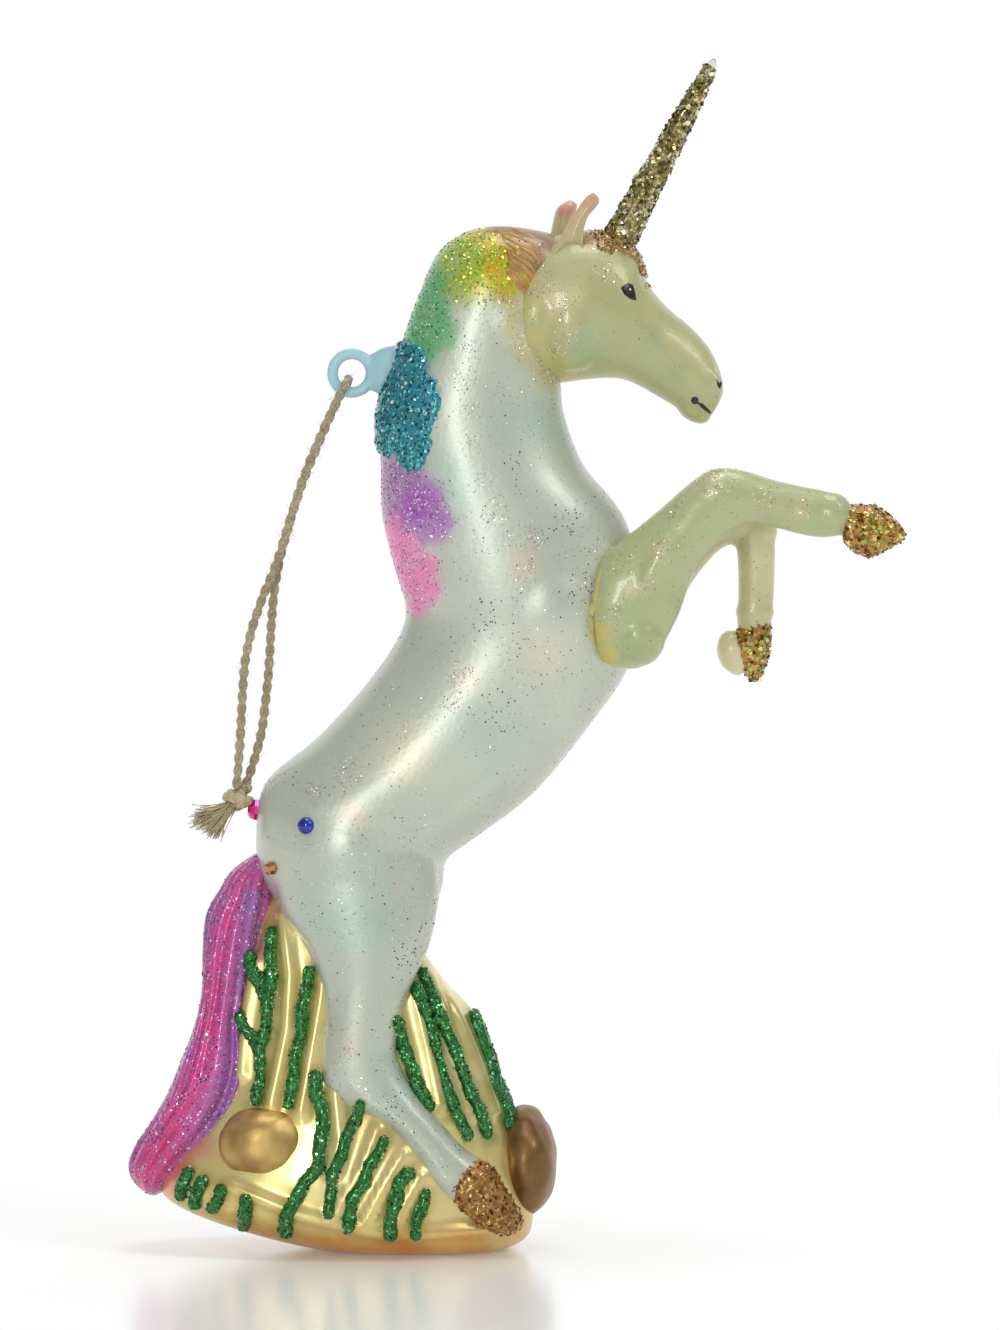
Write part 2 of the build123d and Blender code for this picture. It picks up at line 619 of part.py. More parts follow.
# Jute cord, its overhand knot and the frayed ends below it
cord_line = cord_path()
cord_start = Plane(origin=cord_line @ 0, z_dir=cord_line % 0)
hanging_cord = sweep(cord_start * Circle(CORD_DIAMETER / 2), path=cord_line)
expected = math.pi * CORD_DIAMETER ** 2 / 4 * cord_line.length
print("cord length", round(cord_line.length, 1), "volume", hanging_cord.volume, "expected", expected)
knot_middle = Pos(ring_x + KNOT_PLACE[0], KNOT_PLACE[1], ring_z + KNOT_PLACE[2])
knot_size = (KNOT_WIDTH / 2, KNOT_WIDTH / 2, KNOT_LENGTH / 2)
knot = knot_middle * scale(Sphere(1), by=knot_size)
tuft = loft([
    Circle(TUFT_WIDTH / 4),
    Pos(0, 0, KNOT_LENGTH / 2) * Circle(TUFT_WIDTH / 4),
    Pos(0, 0, KNOT_LENGTH / 2 + TUFT_LENGTH) * Ellipse(TUFT_WIDTH / 2, TUFT_WIDTH / 3),
])
cord_knot = knot + knot_middle * Rot(0, TUFT_TURN, 0) * tuft
hanging_cord = hanging_cord - cord_knot

# Written nodes
for name, shape in (
    ("body_shell", body_shell),
    ("base_shell", base_shell),
    ("tail_shell", tail_shell),
    ("rear_stone_near", stones["near"]),
    ("rear_stone_far", stones["far"]),
    ("front_stone", front_stone),
    ("blow_hole_seal", blow_hole_seal),
    ("hind_hoof_near", hind_hooves[0]),
    ("hind_hoof_far", hind_hooves[-1]),
    ("head", head),
    ("ear_near", ear_near),
    ("ear_far", ear_far),
    ("horn", horn),
    ("horn_glitter_coat", horn_coat),
    ("foreleg_near", foreleg_near),
    ("foreleg_far", foreleg_far),
    ("fore_hoof_near", fore_hoof_near),
    ("fore_hoof_far", fore_hoof_far),
    ("hanging_ring", hanging_ring),
    ("mane_glitter_crust", mane_crust),
    ("grass_beads_near", Compound(children=[bead.solid() for bead in grass_near])),
    ("grass_beads_far", Compound(children=[bead.solid() for bead in grass_far])),
    ("hanging_cord", hanging_cord),
    ("cord_knot", cord_knot),
):
    save(name, shape)
for name, shape in gems.items():
    save(name, shape)
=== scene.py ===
# %% [markdown]
# # A mouth-blown glass unicorn ornament
# The real piece is a hollow glass figure, blown in a mould, silvered inside and
# painted outside with lacquer. Glitter glue makes the grass, the hooves, the
# horn and one patch of the mane. We model in metres, in the frame of the CAD
# part: +X is the way the unicorn looks, +Z is up, and -Y faces the camera.

# %% Load the frame
import bpy
import bmesh
import math
import numpy as np
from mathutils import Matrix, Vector, noise
from mathutils.bvhtree import BVHTree


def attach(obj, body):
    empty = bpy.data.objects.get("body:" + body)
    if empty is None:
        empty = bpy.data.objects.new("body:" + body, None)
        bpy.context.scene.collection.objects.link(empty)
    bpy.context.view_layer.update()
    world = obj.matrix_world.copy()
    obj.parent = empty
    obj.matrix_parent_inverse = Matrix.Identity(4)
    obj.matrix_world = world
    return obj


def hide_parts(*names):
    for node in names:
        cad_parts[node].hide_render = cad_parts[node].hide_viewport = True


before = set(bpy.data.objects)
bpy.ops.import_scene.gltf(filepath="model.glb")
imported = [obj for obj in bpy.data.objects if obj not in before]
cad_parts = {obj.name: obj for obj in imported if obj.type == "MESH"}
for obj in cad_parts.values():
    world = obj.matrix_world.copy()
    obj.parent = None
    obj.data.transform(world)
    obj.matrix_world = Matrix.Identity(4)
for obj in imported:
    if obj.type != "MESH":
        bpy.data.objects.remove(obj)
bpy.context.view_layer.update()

MM = 0.001

# %% [markdown]
# ## Places as shares of the body's height
# The outlines below were judged against a grid. A place is an X and a Z
# share of the body height, just as in the CAD, so one number changes the size.

# %% A place on the middle plane
HEIGHT = 143 * MM


def at(share_x, share_z):
    """Turn shares of the body height into metres."""
    return share_x * HEIGHT, share_z * HEIGHT


print("ear to ground", at(0.15, 1.03))

# %% [markdown]
# ## The camera
# A product photograph is taken from far away with a long lens, so that the
# figure isn't distorted. The camera looks a little down, just enough to see the
# floor in front of the base and the figure's reflection in it.

# %% Camera
PICTURE_HEIGHT = 190 * MM
LENS = 200
SENSOR = 36
LOOK_DOWN = math.radians(2.6)
LOOKED_AT = Vector((10.7 * MM, 0, 83.6 * MM))


def in_scene(name, data):
    """Put a camera, curve, mesh or lamp into the scene as an object."""
    thing = bpy.data.objects.new(name, data)
    bpy.context.scene.collection.objects.link(thing)
    return thing


distance = PICTURE_HEIGHT * LENS / SENSOR
camera_data = bpy.data.cameras.new("camera")
camera_data.lens = LENS
camera_data.sensor_width = SENSOR
camera_data.clip_start = 0.01
camera = in_scene("camera", camera_data)
camera.location = LOOKED_AT + distance * Vector((0, -math.cos(LOOK_DOWN), math.sin(LOOK_DOWN)))
camera.rotation_euler = (math.pi / 2 - LOOK_DOWN, 0, 0)
bpy.context.scene.camera = camera
print("camera stands", round(distance, 3), "m away")

# %% [markdown]
# ## The cord's route
# The jute loop is one length of string. It leaves the knot on the near side,
# goes up and through the glass ring, and comes back down on the far side. We
# give the route as control points and let a NURBS spline of order 3 run inside
# them, which is how a limp string behaves: no corner is ever sharp.

# %% Route of the jute loop
RING_MIDDLE = Vector((-10.439 * MM, 0, 125.268 * MM))
ROUTE_DOWN = [
    (-16.5, -0.80, -59.3), (-16.0, -0.95, -53.2), (-15.7, -1.05, -46.6), (-15.2, -1.15, -39.8),
    (-13.3, -1.20, -33.2), (-10.6, -1.15, -27.0), (-8.8, -1.10, -20.8), (-6.7, -1.10, -14.6),
    (-4.2, -1.25, -8.8), (-2.6, -1.70, -4.9),
]
ROUTE_TURN = [(-0.45, -1.78, -0.85), (-0.45, 1.78, -0.85)]
ROUTE_BACK = [
    (-2.8, 1.75, -5.2), (-4.6, 1.25, -9.3), (-7.1, 1.05, -15.2), (-9.0, 1.00, -21.5),
    (-10.7, 1.05, -27.8), (-11.5, 1.10, -34.2), (-11.8, 1.10, -40.9), (-12.4, 1.00, -47.4),
    (-13.3, 0.90, -53.6), (-15.3, 0.80, -59.1),
]
cord_points = [RING_MIDDLE + Vector(point) * MM for point in ROUTE_DOWN + ROUTE_TURN + ROUTE_BACK]


def smooth_route(points):
    """Read a smooth line of points from a NURBS spline with these control points."""
    curve = bpy.data.curves.new("cord_route", "CURVE")
    curve.dimensions = "3D"
    curve.resolution_u = 12
    spline = curve.splines.new("NURBS")
    spline.points.add(len(points) - 1)
    for spot, point in zip(spline.points, points):
        spot.co = (*point, 1.0)
    spline.order_u = 3
    spline.use_endpoint_u = True
    holder = in_scene("cord_route", curve)
    bpy.context.view_layer.update()
    mesh = bpy.data.meshes.new_from_object(holder)
    route = [vertex.co.copy() for vertex in mesh.vertices]
    bpy.data.objects.remove(holder)
    bpy.data.meshes.remove(mesh)
    return route


cord_route = smooth_route(cord_points)

# %% [markdown]
# ## Turning outlines into skin
# A blown form has no corners, so each limb is a loft: rows of rings, each ring
# joining two places of the side outline. We ease extra rings between the rows
# with the Catmull-Rom rule, which passes through every row without a kink.

# %% Loft a form through rows
def eased(rows, steps):
    """Put smooth rows between the given ones."""
    table = np.array(rows, float)
    out = []
    for i in range(len(table) - 1):
        a, b = table[max(i - 1, 0)], table[i]
        c, d = table[i + 1], table[min(i + 2, len(table) - 1)]
        for k in range(steps):
            t = k / steps
            out.append(0.5 * (2 * b + (c - a) * t + (2 * a - 5 * b + 4 * c - d) * t ** 2
                              + (3 * b - a - 3 * c + d) * t ** 3))
    out.append(table[-1])
    return np.array(out)


def ring_faces(rings, around, ends="capped"):
    """Faces between rings of vertices, whose ends are capped, open or joined."""
    faces = []
    for i in range(rings if ends == "joined" else rings - 1):
        j = (i + 1) % rings
        for k in range(around):
            n = (k + 1) % around
            faces.append((i * around + k, i * around + n, j * around + n, j * around + k))
    if ends == "capped":
        faces.append(tuple(range(around))[::-1])
        faces.append(tuple(range((rings - 1) * around, rings * around)))
    return faces


def loft_arrays(rows, around=40, steps=6):
    """A closed form; rows are x, z, x, z, depth, and y and squareness unless 0 and 2."""
    table = eased([row + (0, 2.0)[len(row) - 5:] for row in rows], steps)
    angle = np.linspace(0, 2 * math.pi, around, endpoint=False)
    verts = []
    for x1, z1, x2, z2, depth, middle_y, square in table:
        cosine = np.sign(np.cos(angle)) * np.abs(np.cos(angle)) ** (2 / square)
        sine = np.sign(np.sin(angle)) * np.abs(np.sin(angle)) ** (2 / square)
        ring = np.empty((around, 3))
        ring[:, 0] = HEIGHT * ((x1 + x2) / 2 + (x1 - x2) / 2 * cosine)
        ring[:, 2] = HEIGHT * ((z1 + z2) / 2 + (z1 - z2) / 2 * cosine)
        ring[:, 1] = MM * (middle_y + depth * sine)
        verts.append(ring)
    return np.concatenate(verts), ring_faces(len(table), around)


def new_piece(name, verts, faces, body="figure"):
    """Make a smooth mesh object and let it ride on a CAD body."""
    mesh = bpy.data.meshes.new(name)
    mesh.from_pydata([tuple(v) for v in verts], [], faces)
    mesh.update()
    bm = bmesh.new()
    bm.from_mesh(mesh)
    bmesh.ops.recalc_face_normals(bm, faces=bm.faces)
    bm.to_mesh(mesh)
    bm.free()
    mesh.polygons.foreach_set("use_smooth", [True] * len(mesh.polygons))
    piece = in_scene(name, mesh)
    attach(piece, body)
    return piece


def stands_for(node_name):
    """Hide a CAD node, so that a piece can take its place."""
    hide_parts(node_name)


print("lofts ready")

# %% [markdown]
# ## Melting shapes together
# Where a leg grows out of a trunk, the glass flows from one into the other. We
# lay the closed forms over each other, let a voxel Remesh take their common
# skin, and then relax it, which rounds every inner corner as heat does.

# %% Melt several forms into one skin
def globe_arrays(around, rings):
    """Directions and faces of a ball of rings; both poles are small caps."""
    directions = []
    for i in range(1, rings):
        polar = math.pi * i / rings
        for k in range(around):
            turn = 2 * math.pi * k / around
            directions.append((math.sin(polar) * math.cos(turn), math.sin(polar) * math.sin(turn),
                               math.cos(polar)))
    *walls, top, bottom = ring_faces(rings - 1, around)
    return directions, [top[::-1]] + [(a, d, c, b) for a, b, c, d in walls] + [bottom[::-1]]


def oval_arrays(middle, size, around=24, rings=14, tilt=0.0):
    """A closed oval; middle is X and Z shares and Y in mm, size is in mm."""
    directions, faces = globe_arrays(around, rings)
    x0, z0 = at(middle[0], middle[1])
    verts = []
    for direction in directions:
        x, y, z = (part * width * MM for part, width in zip(direction, size))
        verts.append((x0 + x * math.cos(tilt) + z * math.sin(tilt), middle[2] * MM + y,
                      z0 - x * math.sin(tilt) + z * math.cos(tilt)))
    return np.array(verts), faces


def paired_ovals(swells):
    """Ovals on both sides; a swell is x, z, how far out, size and tilt."""
    return [oval_arrays((x, z, side * out), size, tilt=tilt)
            for side in (-1, 1) for x, z, out, size, tilt in swells]


def joined(parts):
    """Put several vertex and face lists into one."""
    verts, faces, start = [], [], 0
    for part_verts, part_faces in parts:
        verts.append(np.asarray(part_verts, float))
        faces.extend(tuple(index + start for index in face) for face in part_faces)
        start += len(part_verts)
    return np.concatenate(verts), faces


def modified(piece, kind, **settings):
    """Add a modifier and keep its result."""
    modifier = piece.modifiers.new(kind.title(), kind)
    for key, value in settings.items():
        setattr(modifier, key, value)
    bpy.context.view_layer.update()
    graph = bpy.context.evaluated_depsgraph_get()
    mesh = bpy.data.meshes.new_from_object(piece.evaluated_get(graph))
    piece.modifiers.clear()
    old = piece.data
    piece.data = mesh
    bpy.data.meshes.remove(old)
    mesh.polygons.foreach_set("use_smooth", [True] * len(mesh.polygons))


def melted(name, parts, voxel, relax):
    """One skin around overlapping closed forms, with its creases relaxed."""
    piece = new_piece(name, *joined(parts))
    modified(piece, "REMESH", mode="VOXEL", voxel_size=voxel * MM)
    modified(piece, "SMOOTH", factor=0.5, iterations=relax)
    print(name, len(piece.data.polygons), "faces")
    return piece


def vector_array(items, key):
    """One vector of each vertex or normal, as the rows of an array."""
    flat = np.empty(len(items) * 3)
    items.foreach_get(key, flat)
    return flat.reshape(-1, 3)


def vertices_of(piece):
    """A piece's vertices as an array."""
    return vector_array(piece.data.vertices, "co")


def normals_of(piece):
    """A piece's vertex normals as an array."""
    return vector_array(piece.data.vertex_normals, "vector")


def move_vertices(piece, verts):
    """Put a piece's vertices at new places."""
    piece.data.vertices.foreach_set("co", np.asarray(verts, float).ravel())
    piece.data.update()


print("melting ready")

# %% [markdown]
# ## The body
# Neck, chest, belly and haunches are one long loft. Both hind legs are lofts of
# their own that stand proud of the base, and a few soft ovals add the haunch,
# the shoulder and the breast before everything is melted into one skin.

# %% Body skin
TRUNK = [
    (-0.120, 0.300, 0.000, 0.310, 9.5),
    (-0.140, 0.335, 0.007, 0.335, 11.5),
    (-0.164, 0.372, 0.018, 0.366, 12.7),
    (-0.169, 0.415, 0.021, 0.390, 13.0),
    (-0.160, 0.467, 0.049, 0.411, 12.7),
    (-0.107, 0.513, 0.110, 0.458, 12.1),
    (-0.053, 0.573, 0.167, 0.528, 11.5),
    (-0.020, 0.630, 0.203, 0.582, 11.4),
    (-0.030, 0.680, 0.219, 0.650, 11.4),
    (-0.043, 0.732, 0.200, 0.730, 10.7),
    (-0.044, 0.785, 0.158, 0.785, 9.9),
    (-0.046, 0.840, 0.139, 0.835, 9.1),
    (-0.024, 0.905, 0.136, 0.862, 8.6),
    (-0.007, 0.952, 0.134, 0.885, 8.2),
    (0.016, 1.000, 0.131, 0.912, 7.8),
    (0.060, 1.022, 0.131, 0.935, 7.0),
    (0.115, 1.018, 0.133, 0.955, 5.6),
    (0.135, 1.010, 0.140, 0.965, 3.8),
]
HIND_LEG = [
    (-0.152, 0.400, 0.012, 0.400, 8.0, -5.0),
    (-0.144, 0.345, 0.014, 0.355, 7.2, -6.2),
    (-0.118, 0.305, 0.006, 0.312, 6.2, -7.6, 2.1),
    (-0.106, 0.275, -0.010, 0.274, 5.6, -8.3, 2.2),
    (-0.101, 0.245, -0.020, 0.248, 5.2, -8.9, 2.2),
    (-0.104, 0.205, -0.026, 0.214, 5.0, -9.3, 2.2),
    (-0.105, 0.172, -0.024, 0.196, 5.0, -9.5, 2.2),
    (-0.084, 0.150, -0.013, 0.174, 4.9, -9.7, 2.2),
    (-0.047, 0.132, 0.008, 0.146, 4.8, -9.8, 2.2),
    (-0.019, 0.103, 0.026, 0.125, 4.7, -9.8, 2.2),
    (0.002, 0.070, 0.040, 0.110, 4.7, -9.7, 2.3),
    (0.020, 0.052, 0.058, 0.096, 4.6, -9.5, 2.3),
    (0.040, 0.044, 0.070, 0.078, 3.6, -9.2, 2.2),
]
BODY_SWELLS = [
    (-0.075, 0.400, 5.4, (10.4, 8.0, 11.0), 0),
    (0.120, 0.640, 5.0, (8.6, 6.9, 10.5), 0),
    (0.095, 0.580, 5.2, (8.0, 6.2, 9.0), 0),
    (0.080, 0.925, 4.0, (6.0, 4.3, 7.0), 0),
]


def far_side(rows):
    """The same rows on the figure's other side."""
    return [row[:5] + (-row[5],) + row[6:] for row in rows]


body_skin = melted("body_skin", [
    loft_arrays(TRUNK, around=56, steps=5),
    loft_arrays(HIND_LEG, around=32, steps=5),
    loft_arrays(far_side(HIND_LEG), around=32, steps=5),
] + paired_ovals(BODY_SWELLS), voxel=0.60, relax=9)
stands_for("body_shell")

# %% [markdown]
# ## The base
# The base is a blown cone that stands on a flattened belly like a boat. Its
# skin is ribbed by the mould: narrow ribs run down between the blades of grass.
# We push the skin out along given rib lines, more at their middle.

# %% Base skin with ribs
BASE = [
    (-0.065, 0.0005, 0.065, 0.0005, 7.0, 0, 2.2),
    (-0.120, 0.0030, 0.084, 0.0020, 10.0, 0, 2.2),
    (-0.203, 0.0250, 0.102, 0.0120, 13.2, 0, 2.2),
    (-0.255, 0.0480, 0.108, 0.0300, 15.0, 0, 2.2),
    (-0.268, 0.0720, 0.107, 0.0600, 15.3, 0, 2.2),
    (-0.253, 0.1000, 0.100, 0.0950, 14.7, 0, 2.2),
    (-0.227, 0.1550, 0.083, 0.1420, 13.0, 0, 2.1),
    (-0.210, 0.2000, 0.070, 0.1850, 11.8),
    (-0.192, 0.2650, 0.048, 0.2370, 10.4),
    (-0.176, 0.3200, 0.019, 0.2680, 9.2),
    (-0.160, 0.3500, 0.000, 0.2950, 7.8),
    (-0.138, 0.3700, -0.020, 0.3200, 5.0),
]
RIBS = [
    [(-0.140, 0.335), (-0.133, 0.280), (-0.136, 0.225), (-0.152, 0.150)],
    [(-0.098, 0.300), (-0.103, 0.250), (-0.112, 0.200), (-0.122, 0.145)],
    [(-0.167, 0.290), (-0.178, 0.235), (-0.181, 0.180)],
    [(-0.088, 0.165), (-0.083, 0.120), (-0.090, 0.085)],
    [(-0.045, 0.130), (-0.062, 0.088), (-0.088, 0.045)],
    [(-0.020, 0.105), (-0.040, 0.072), (-0.060, 0.035)],
    [(-0.004, 0.082), (-0.022, 0.050), (-0.030, 0.025)],
    [(-0.190, 0.072), (-0.120, 0.045), (-0.040, 0.026), (0.060, 0.028)],
    [(-0.010, 0.262), (0.004, 0.205), (0.016, 0.150)],
    [(0.006, 0.278), (0.026, 0.215), (0.050, 0.140)],
    [(0.014, 0.275), (0.044, 0.208), (0.070, 0.140)],
]
RIB_WIDTH = 1.0 * MM
RIB_HEIGHT = 1.0 * MM


def line_distance(xz, line):
    """Distance in the side view from places to a line of shares, in metres."""
    best = np.full(len(xz), 1e9)
    spots = [np.array(at(*share)) for share in line]
    for a, b in zip(spots, spots[1:]):
        along = b - a
        t = np.clip(((xz - a) @ along) / (along @ along), 0, 1)
        best = np.minimum(best, np.linalg.norm(xz - (a + t[:, None] * along), axis=1))
    return best


base_skin = new_piece("base_skin", *loft_arrays(BASE, around=220, steps=12))
verts = vertices_of(base_skin)
normals = normals_of(base_skin)
swell = np.zeros(len(verts))
for rib in RIBS:
    swell = np.maximum(swell, np.exp(-(line_distance(verts[:, [0, 2]], rib) / RIB_WIDTH) ** 2))
swell *= np.clip(np.abs(normals[:, 1]) * 1.6 - 0.1, 0, 1)
move_vertices(base_skin, verts + normals * (swell * RIB_HEIGHT)[:, None])
stands_for("base_shell")
print("base", len(base_skin.data.polygons), "faces")

# %% [markdown]
# ## The tail
# The tail hangs from the rump to the ground like a heavy lock. Its glass has
# long grooves for the strands, so we wave the radius of each ring and let the
# waves turn slowly on their way down.

# %% Tail skin with strands
TAIL = [
    (-0.160, 0.402, -0.140, 0.396, 2.4),
    (-0.191, 0.381, -0.150, 0.372, 3.8),
    (-0.205, 0.360, -0.150, 0.350, 4.8, 0, 2.1),
    (-0.218, 0.335, -0.153, 0.325, 5.6, 0, 2.2),
    (-0.222, 0.300, -0.162, 0.292, 6.6, 0, 2.6),
    (-0.223, 0.265, -0.172, 0.258, 7.3, 0, 2.8),
    (-0.228, 0.235, -0.176, 0.228, 8.0, 0, 3.0),
    (-0.236, 0.208, -0.174, 0.200, 8.6, 0, 3.2),
    (-0.246, 0.183, -0.174, 0.172, 9.2, 0, 3.2),
    (-0.257, 0.157, -0.184, 0.144, 9.4, 0, 3.0),
    (-0.274, 0.128, -0.200, 0.119, 9.0, 0, 2.6),
    (-0.290, 0.104, -0.222, 0.097, 7.6, 0, 2.2),
    (-0.297, 0.083, -0.246, 0.074, 6.6, 0, 2.1),
    (-0.292, 0.067, -0.258, 0.060, 5.0),
    (-0.280, 0.056, -0.268, 0.054, 2.6),
]
TAIL_AROUND = 96
TAIL_NARROWER = 0.97
TAIL_WAVES = [(13, 0.050, 0.030, 0.0), (7, 0.040, -0.045, 1.0)]
tail_verts, tail_faces = loft_arrays(TAIL, around=TAIL_AROUND, steps=10)
rings = tail_verts.reshape(-1, TAIL_AROUND, 3)
turn = np.linspace(0, 2 * math.pi, TAIL_AROUND, endpoint=False)
for i, ring in enumerate(rings):
    middle = ring.mean(axis=0)
    fade = math.sin(math.pi * i / (len(rings) - 1)) ** 0.5
    wave = sum(depth * np.cos(count * turn + i * twist + phase) for count, depth, twist, phase in TAIL_WAVES)
    ring[:] = middle + (ring - middle) * (TAIL_NARROWER + fade * wave)[:, None]
tail_skin = new_piece("tail_skin", rings.reshape(-1, 3), tail_faces)
stands_for("tail_shell")
print("tail", len(tail_skin.data.polygons), "faces")

# %% [markdown]
# ## The head
# The head is a finer form, fused over the neck. Its wedge shape is a loft, and
# small ovals give it cheeks, jaws, brow ridges, nostrils, muzzle ridges and a
# chin. The voxels are smaller here, because the features are.

# %% Head skin
HEAD = [
    (0.096, 1.000, 0.108, 0.870, 7.4),
    (0.130, 1.013, 0.130, 0.866, 8.3),
    (0.172, 1.018, 0.156, 0.869, 8.6),
    (0.209, 0.999, 0.178, 0.871, 8.1),
    (0.222, 0.966, 0.196, 0.870, 7.0),
    (0.241, 0.942, 0.214, 0.863, 5.7),
    (0.266, 0.921, 0.235, 0.851, 4.8),
    (0.284, 0.900, 0.254, 0.840, 4.5, 0, 2.1),
    (0.295, 0.876, 0.270, 0.833, 4.2, 0, 2.1),
    (0.298, 0.856, 0.284, 0.831, 2.9),
]
HEAD_SWELLS = [
    (0.148, 0.925, 4.6, (5.4, 4.3, 6.8), 0),
    (0.112, 0.932, 4.3, (4.4, 4.0, 6.0), 0.2),
    (0.198, 0.962, 5.6, (2.6, 1.5, 1.5), 0.7),
    (0.286, 0.866, 3.0, (1.5, 1.3, 2.2), -0.3),
    (0.235, 0.895, 4.0, (5.5, 1.4, 1.3), 0.72),
]
chin = oval_arrays((0.268, 0.838, 0), (2.6, 2.9, 1.5), tilt=0.5)
head_parts = [loft_arrays(HEAD, around=48, steps=7)] + paired_ovals(HEAD_SWELLS) + [chin]
head_skin = melted("head_skin", head_parts, voxel=0.36, relax=9)
stands_for("head")

# %% [markdown]
# ## Forelegs
# Each foreleg is drawn from a glass rod and bent over a flame. The upper arm is
# broad and flat where it is glued to the shoulder. Small ovals stand for the
# elbow, knee and fetlock, so that the light breaks where the joints are.

# %% Foreleg skins
NEAR_LEG = [
    (0.165, 0.660, 0.171, 0.600, 2.8, -7.5),
    (0.175, 0.692, 0.187, 0.585, 4.2, -7.6),
    (0.202, 0.716, 0.222, 0.588, 4.6, -7.5),
    (0.236, 0.744, 0.250, 0.632, 4.1, -7.3),
    (0.266, 0.770, 0.270, 0.686, 3.7, -7.1),
    (0.289, 0.782, 0.296, 0.716, 3.4, -6.9),
    (0.316, 0.780, 0.320, 0.727, 3.2, -6.7),
    (0.345, 0.771, 0.347, 0.723, 3.0, -6.5),
    (0.375, 0.764, 0.374, 0.716, 2.8, -6.4),
    (0.403, 0.758, 0.396, 0.713, 2.5, -6.3),
    (0.422, 0.746, 0.414, 0.715, 2.2, -6.2),
    (0.440, 0.738, 0.430, 0.706, 2.2, -6.2),
]
FAR_ARM = [
    (0.166, 0.690, 0.176, 0.590, 3.3, 7.4),
    (0.190, 0.700, 0.204, 0.600, 4.2, 7.4),
    (0.222, 0.710, 0.248, 0.636, 4.2, 7.3),
    (0.252, 0.732, 0.274, 0.674, 3.8, 7.2),
    (0.284, 0.750, 0.298, 0.700, 3.5, 7.1),
    (0.312, 0.755, 0.316, 0.703, 3.3, 7.0),
    (0.336, 0.742, 0.326, 0.700, 2.9, 6.9),
]
FAR_SHIN = [
    (0.306, 0.722, 0.345, 0.738, 2.9, 6.9),
    (0.312, 0.700, 0.351, 0.708, 3.0, 6.8),
    (0.314, 0.676, 0.351, 0.678, 2.9, 6.7),
    (0.314, 0.648, 0.350, 0.650, 2.7, 6.6),
    (0.313, 0.628, 0.348, 0.630, 2.6, 6.5),
    (0.316, 0.598, 0.342, 0.598, 2.3, 6.4),
]
near_leg = melted("foreleg_near_skin", [
    loft_arrays(NEAR_LEG, around=36, steps=6),
    oval_arrays((0.288, 0.757, -6.9), (3.4, 3.6, 3.3)),
    oval_arrays((0.212, 0.615, -8.3), (3.9, 4.2, 4.2)),
    oval_arrays((0.404, 0.736, -6.3), (2.9, 2.9, 3.2), tilt=0.2),
    oval_arrays((0.226, 0.680, -9.3), (2.6, 3.2, 7.2), tilt=0.5),
], voxel=0.36, relax=8)
far_leg = melted("foreleg_far_skin", [
    loft_arrays(FAR_ARM, around=32, steps=6),
    loft_arrays(FAR_SHIN, around=32, steps=6),
    oval_arrays((0.333, 0.718, 6.9), (3.0, 3.2, 3.2)),
    oval_arrays((0.331, 0.636, 6.5), (2.8, 2.8, 2.2)),
], voxel=0.36, relax=8)
stands_for("foreleg_near")
stands_for("foreleg_far")

# %% [markdown]
# ## Ears
# Each ear is a thin leaf of glass, folded along its length and curled at the
# tip. A row is a crescent: an outer arc and, less than a millimetre inside it,
# an inner arc, so the leaf is a closed shell that light can shine through.

# %% Ear skins
NEAR_EAR = [
    (0.127, 0.980, 0.157, 0.982, 1.6, 5.8),
    (0.131, 1.001, 0.157, 1.004, 1.9, 5.4),
    (0.139, 1.019, 0.158, 1.018, 1.7, 4.9),
    (0.148, 1.033, 0.162, 1.031, 1.4, 4.5),
    (0.155, 1.044, 0.168, 1.038, 1.2, 4.3),
    (0.162, 1.052, 0.173, 1.045, 0.9, 4.2),
    (0.168, 1.055, 0.173, 1.050, 0.4, 4.2),
]
FAR_EAR = [
    (0.120, 0.990, 0.147, 0.990, 1.5, 5.4),
    (0.125, 1.014, 0.148, 1.012, 1.8, 5.1),
    (0.128, 1.029, 0.149, 1.027, 1.8, 4.7),
    (0.132, 1.041, 0.151, 1.037, 1.6, 4.4),
    (0.140, 1.047, 0.152, 1.043, 1.1, 4.3),
    (0.145, 1.049, 0.151, 1.046, 0.5, 4.3),
]
EAR_WALL = 0.75
EAR_POINTS = 13


def ear_arrays(rows, side):
    """A folded, curled leaf; rows are x, z, x, z, fold and place from the middle."""
    table = eased(rows, 7)
    arc = [k / (EAR_POINTS - 1) for k in range(EAR_POINTS)]
    verts = []
    for x1, z1, x2, z2, fold, out in table:
        for t, wall in [(t, 0) for t in arc] + [(t, EAR_WALL) for t in reversed(arc)]:
            bow = math.sin(math.pi * t)
            lift = bow ** 0.8 * fold - wall * (0.35 + 0.65 * bow)
            x, z = at(x1 + (x2 - x1) * t, z1 + (z2 - z1) * t)
            verts.append((x, side * MM * (out - lift), z))
    return verts, ring_faces(len(table), 2 * EAR_POINTS)


near_ear = new_piece("ear_near_skin", *ear_arrays(NEAR_EAR, -1))
far_ear = new_piece("ear_far_skin", *ear_arrays(FAR_EAR, 1))
for ear, node_name in ((near_ear, "ear_near"), (far_ear, "ear_far")):
    modified(ear, "SUBSURF", levels=1)
    stands_for(node_name)
print("ears", len(near_ear.data.polygons), len(far_ear.data.polygons))

# %% [markdown]
# ## Horn
# The horn is a drawn spike of clear glass, and only its very tip is bare. The
# rest is rolled in glue and coarse glitter, so its skin is lumpy: we turn a
# tapering outline round the horn's axis and push it about with noise.

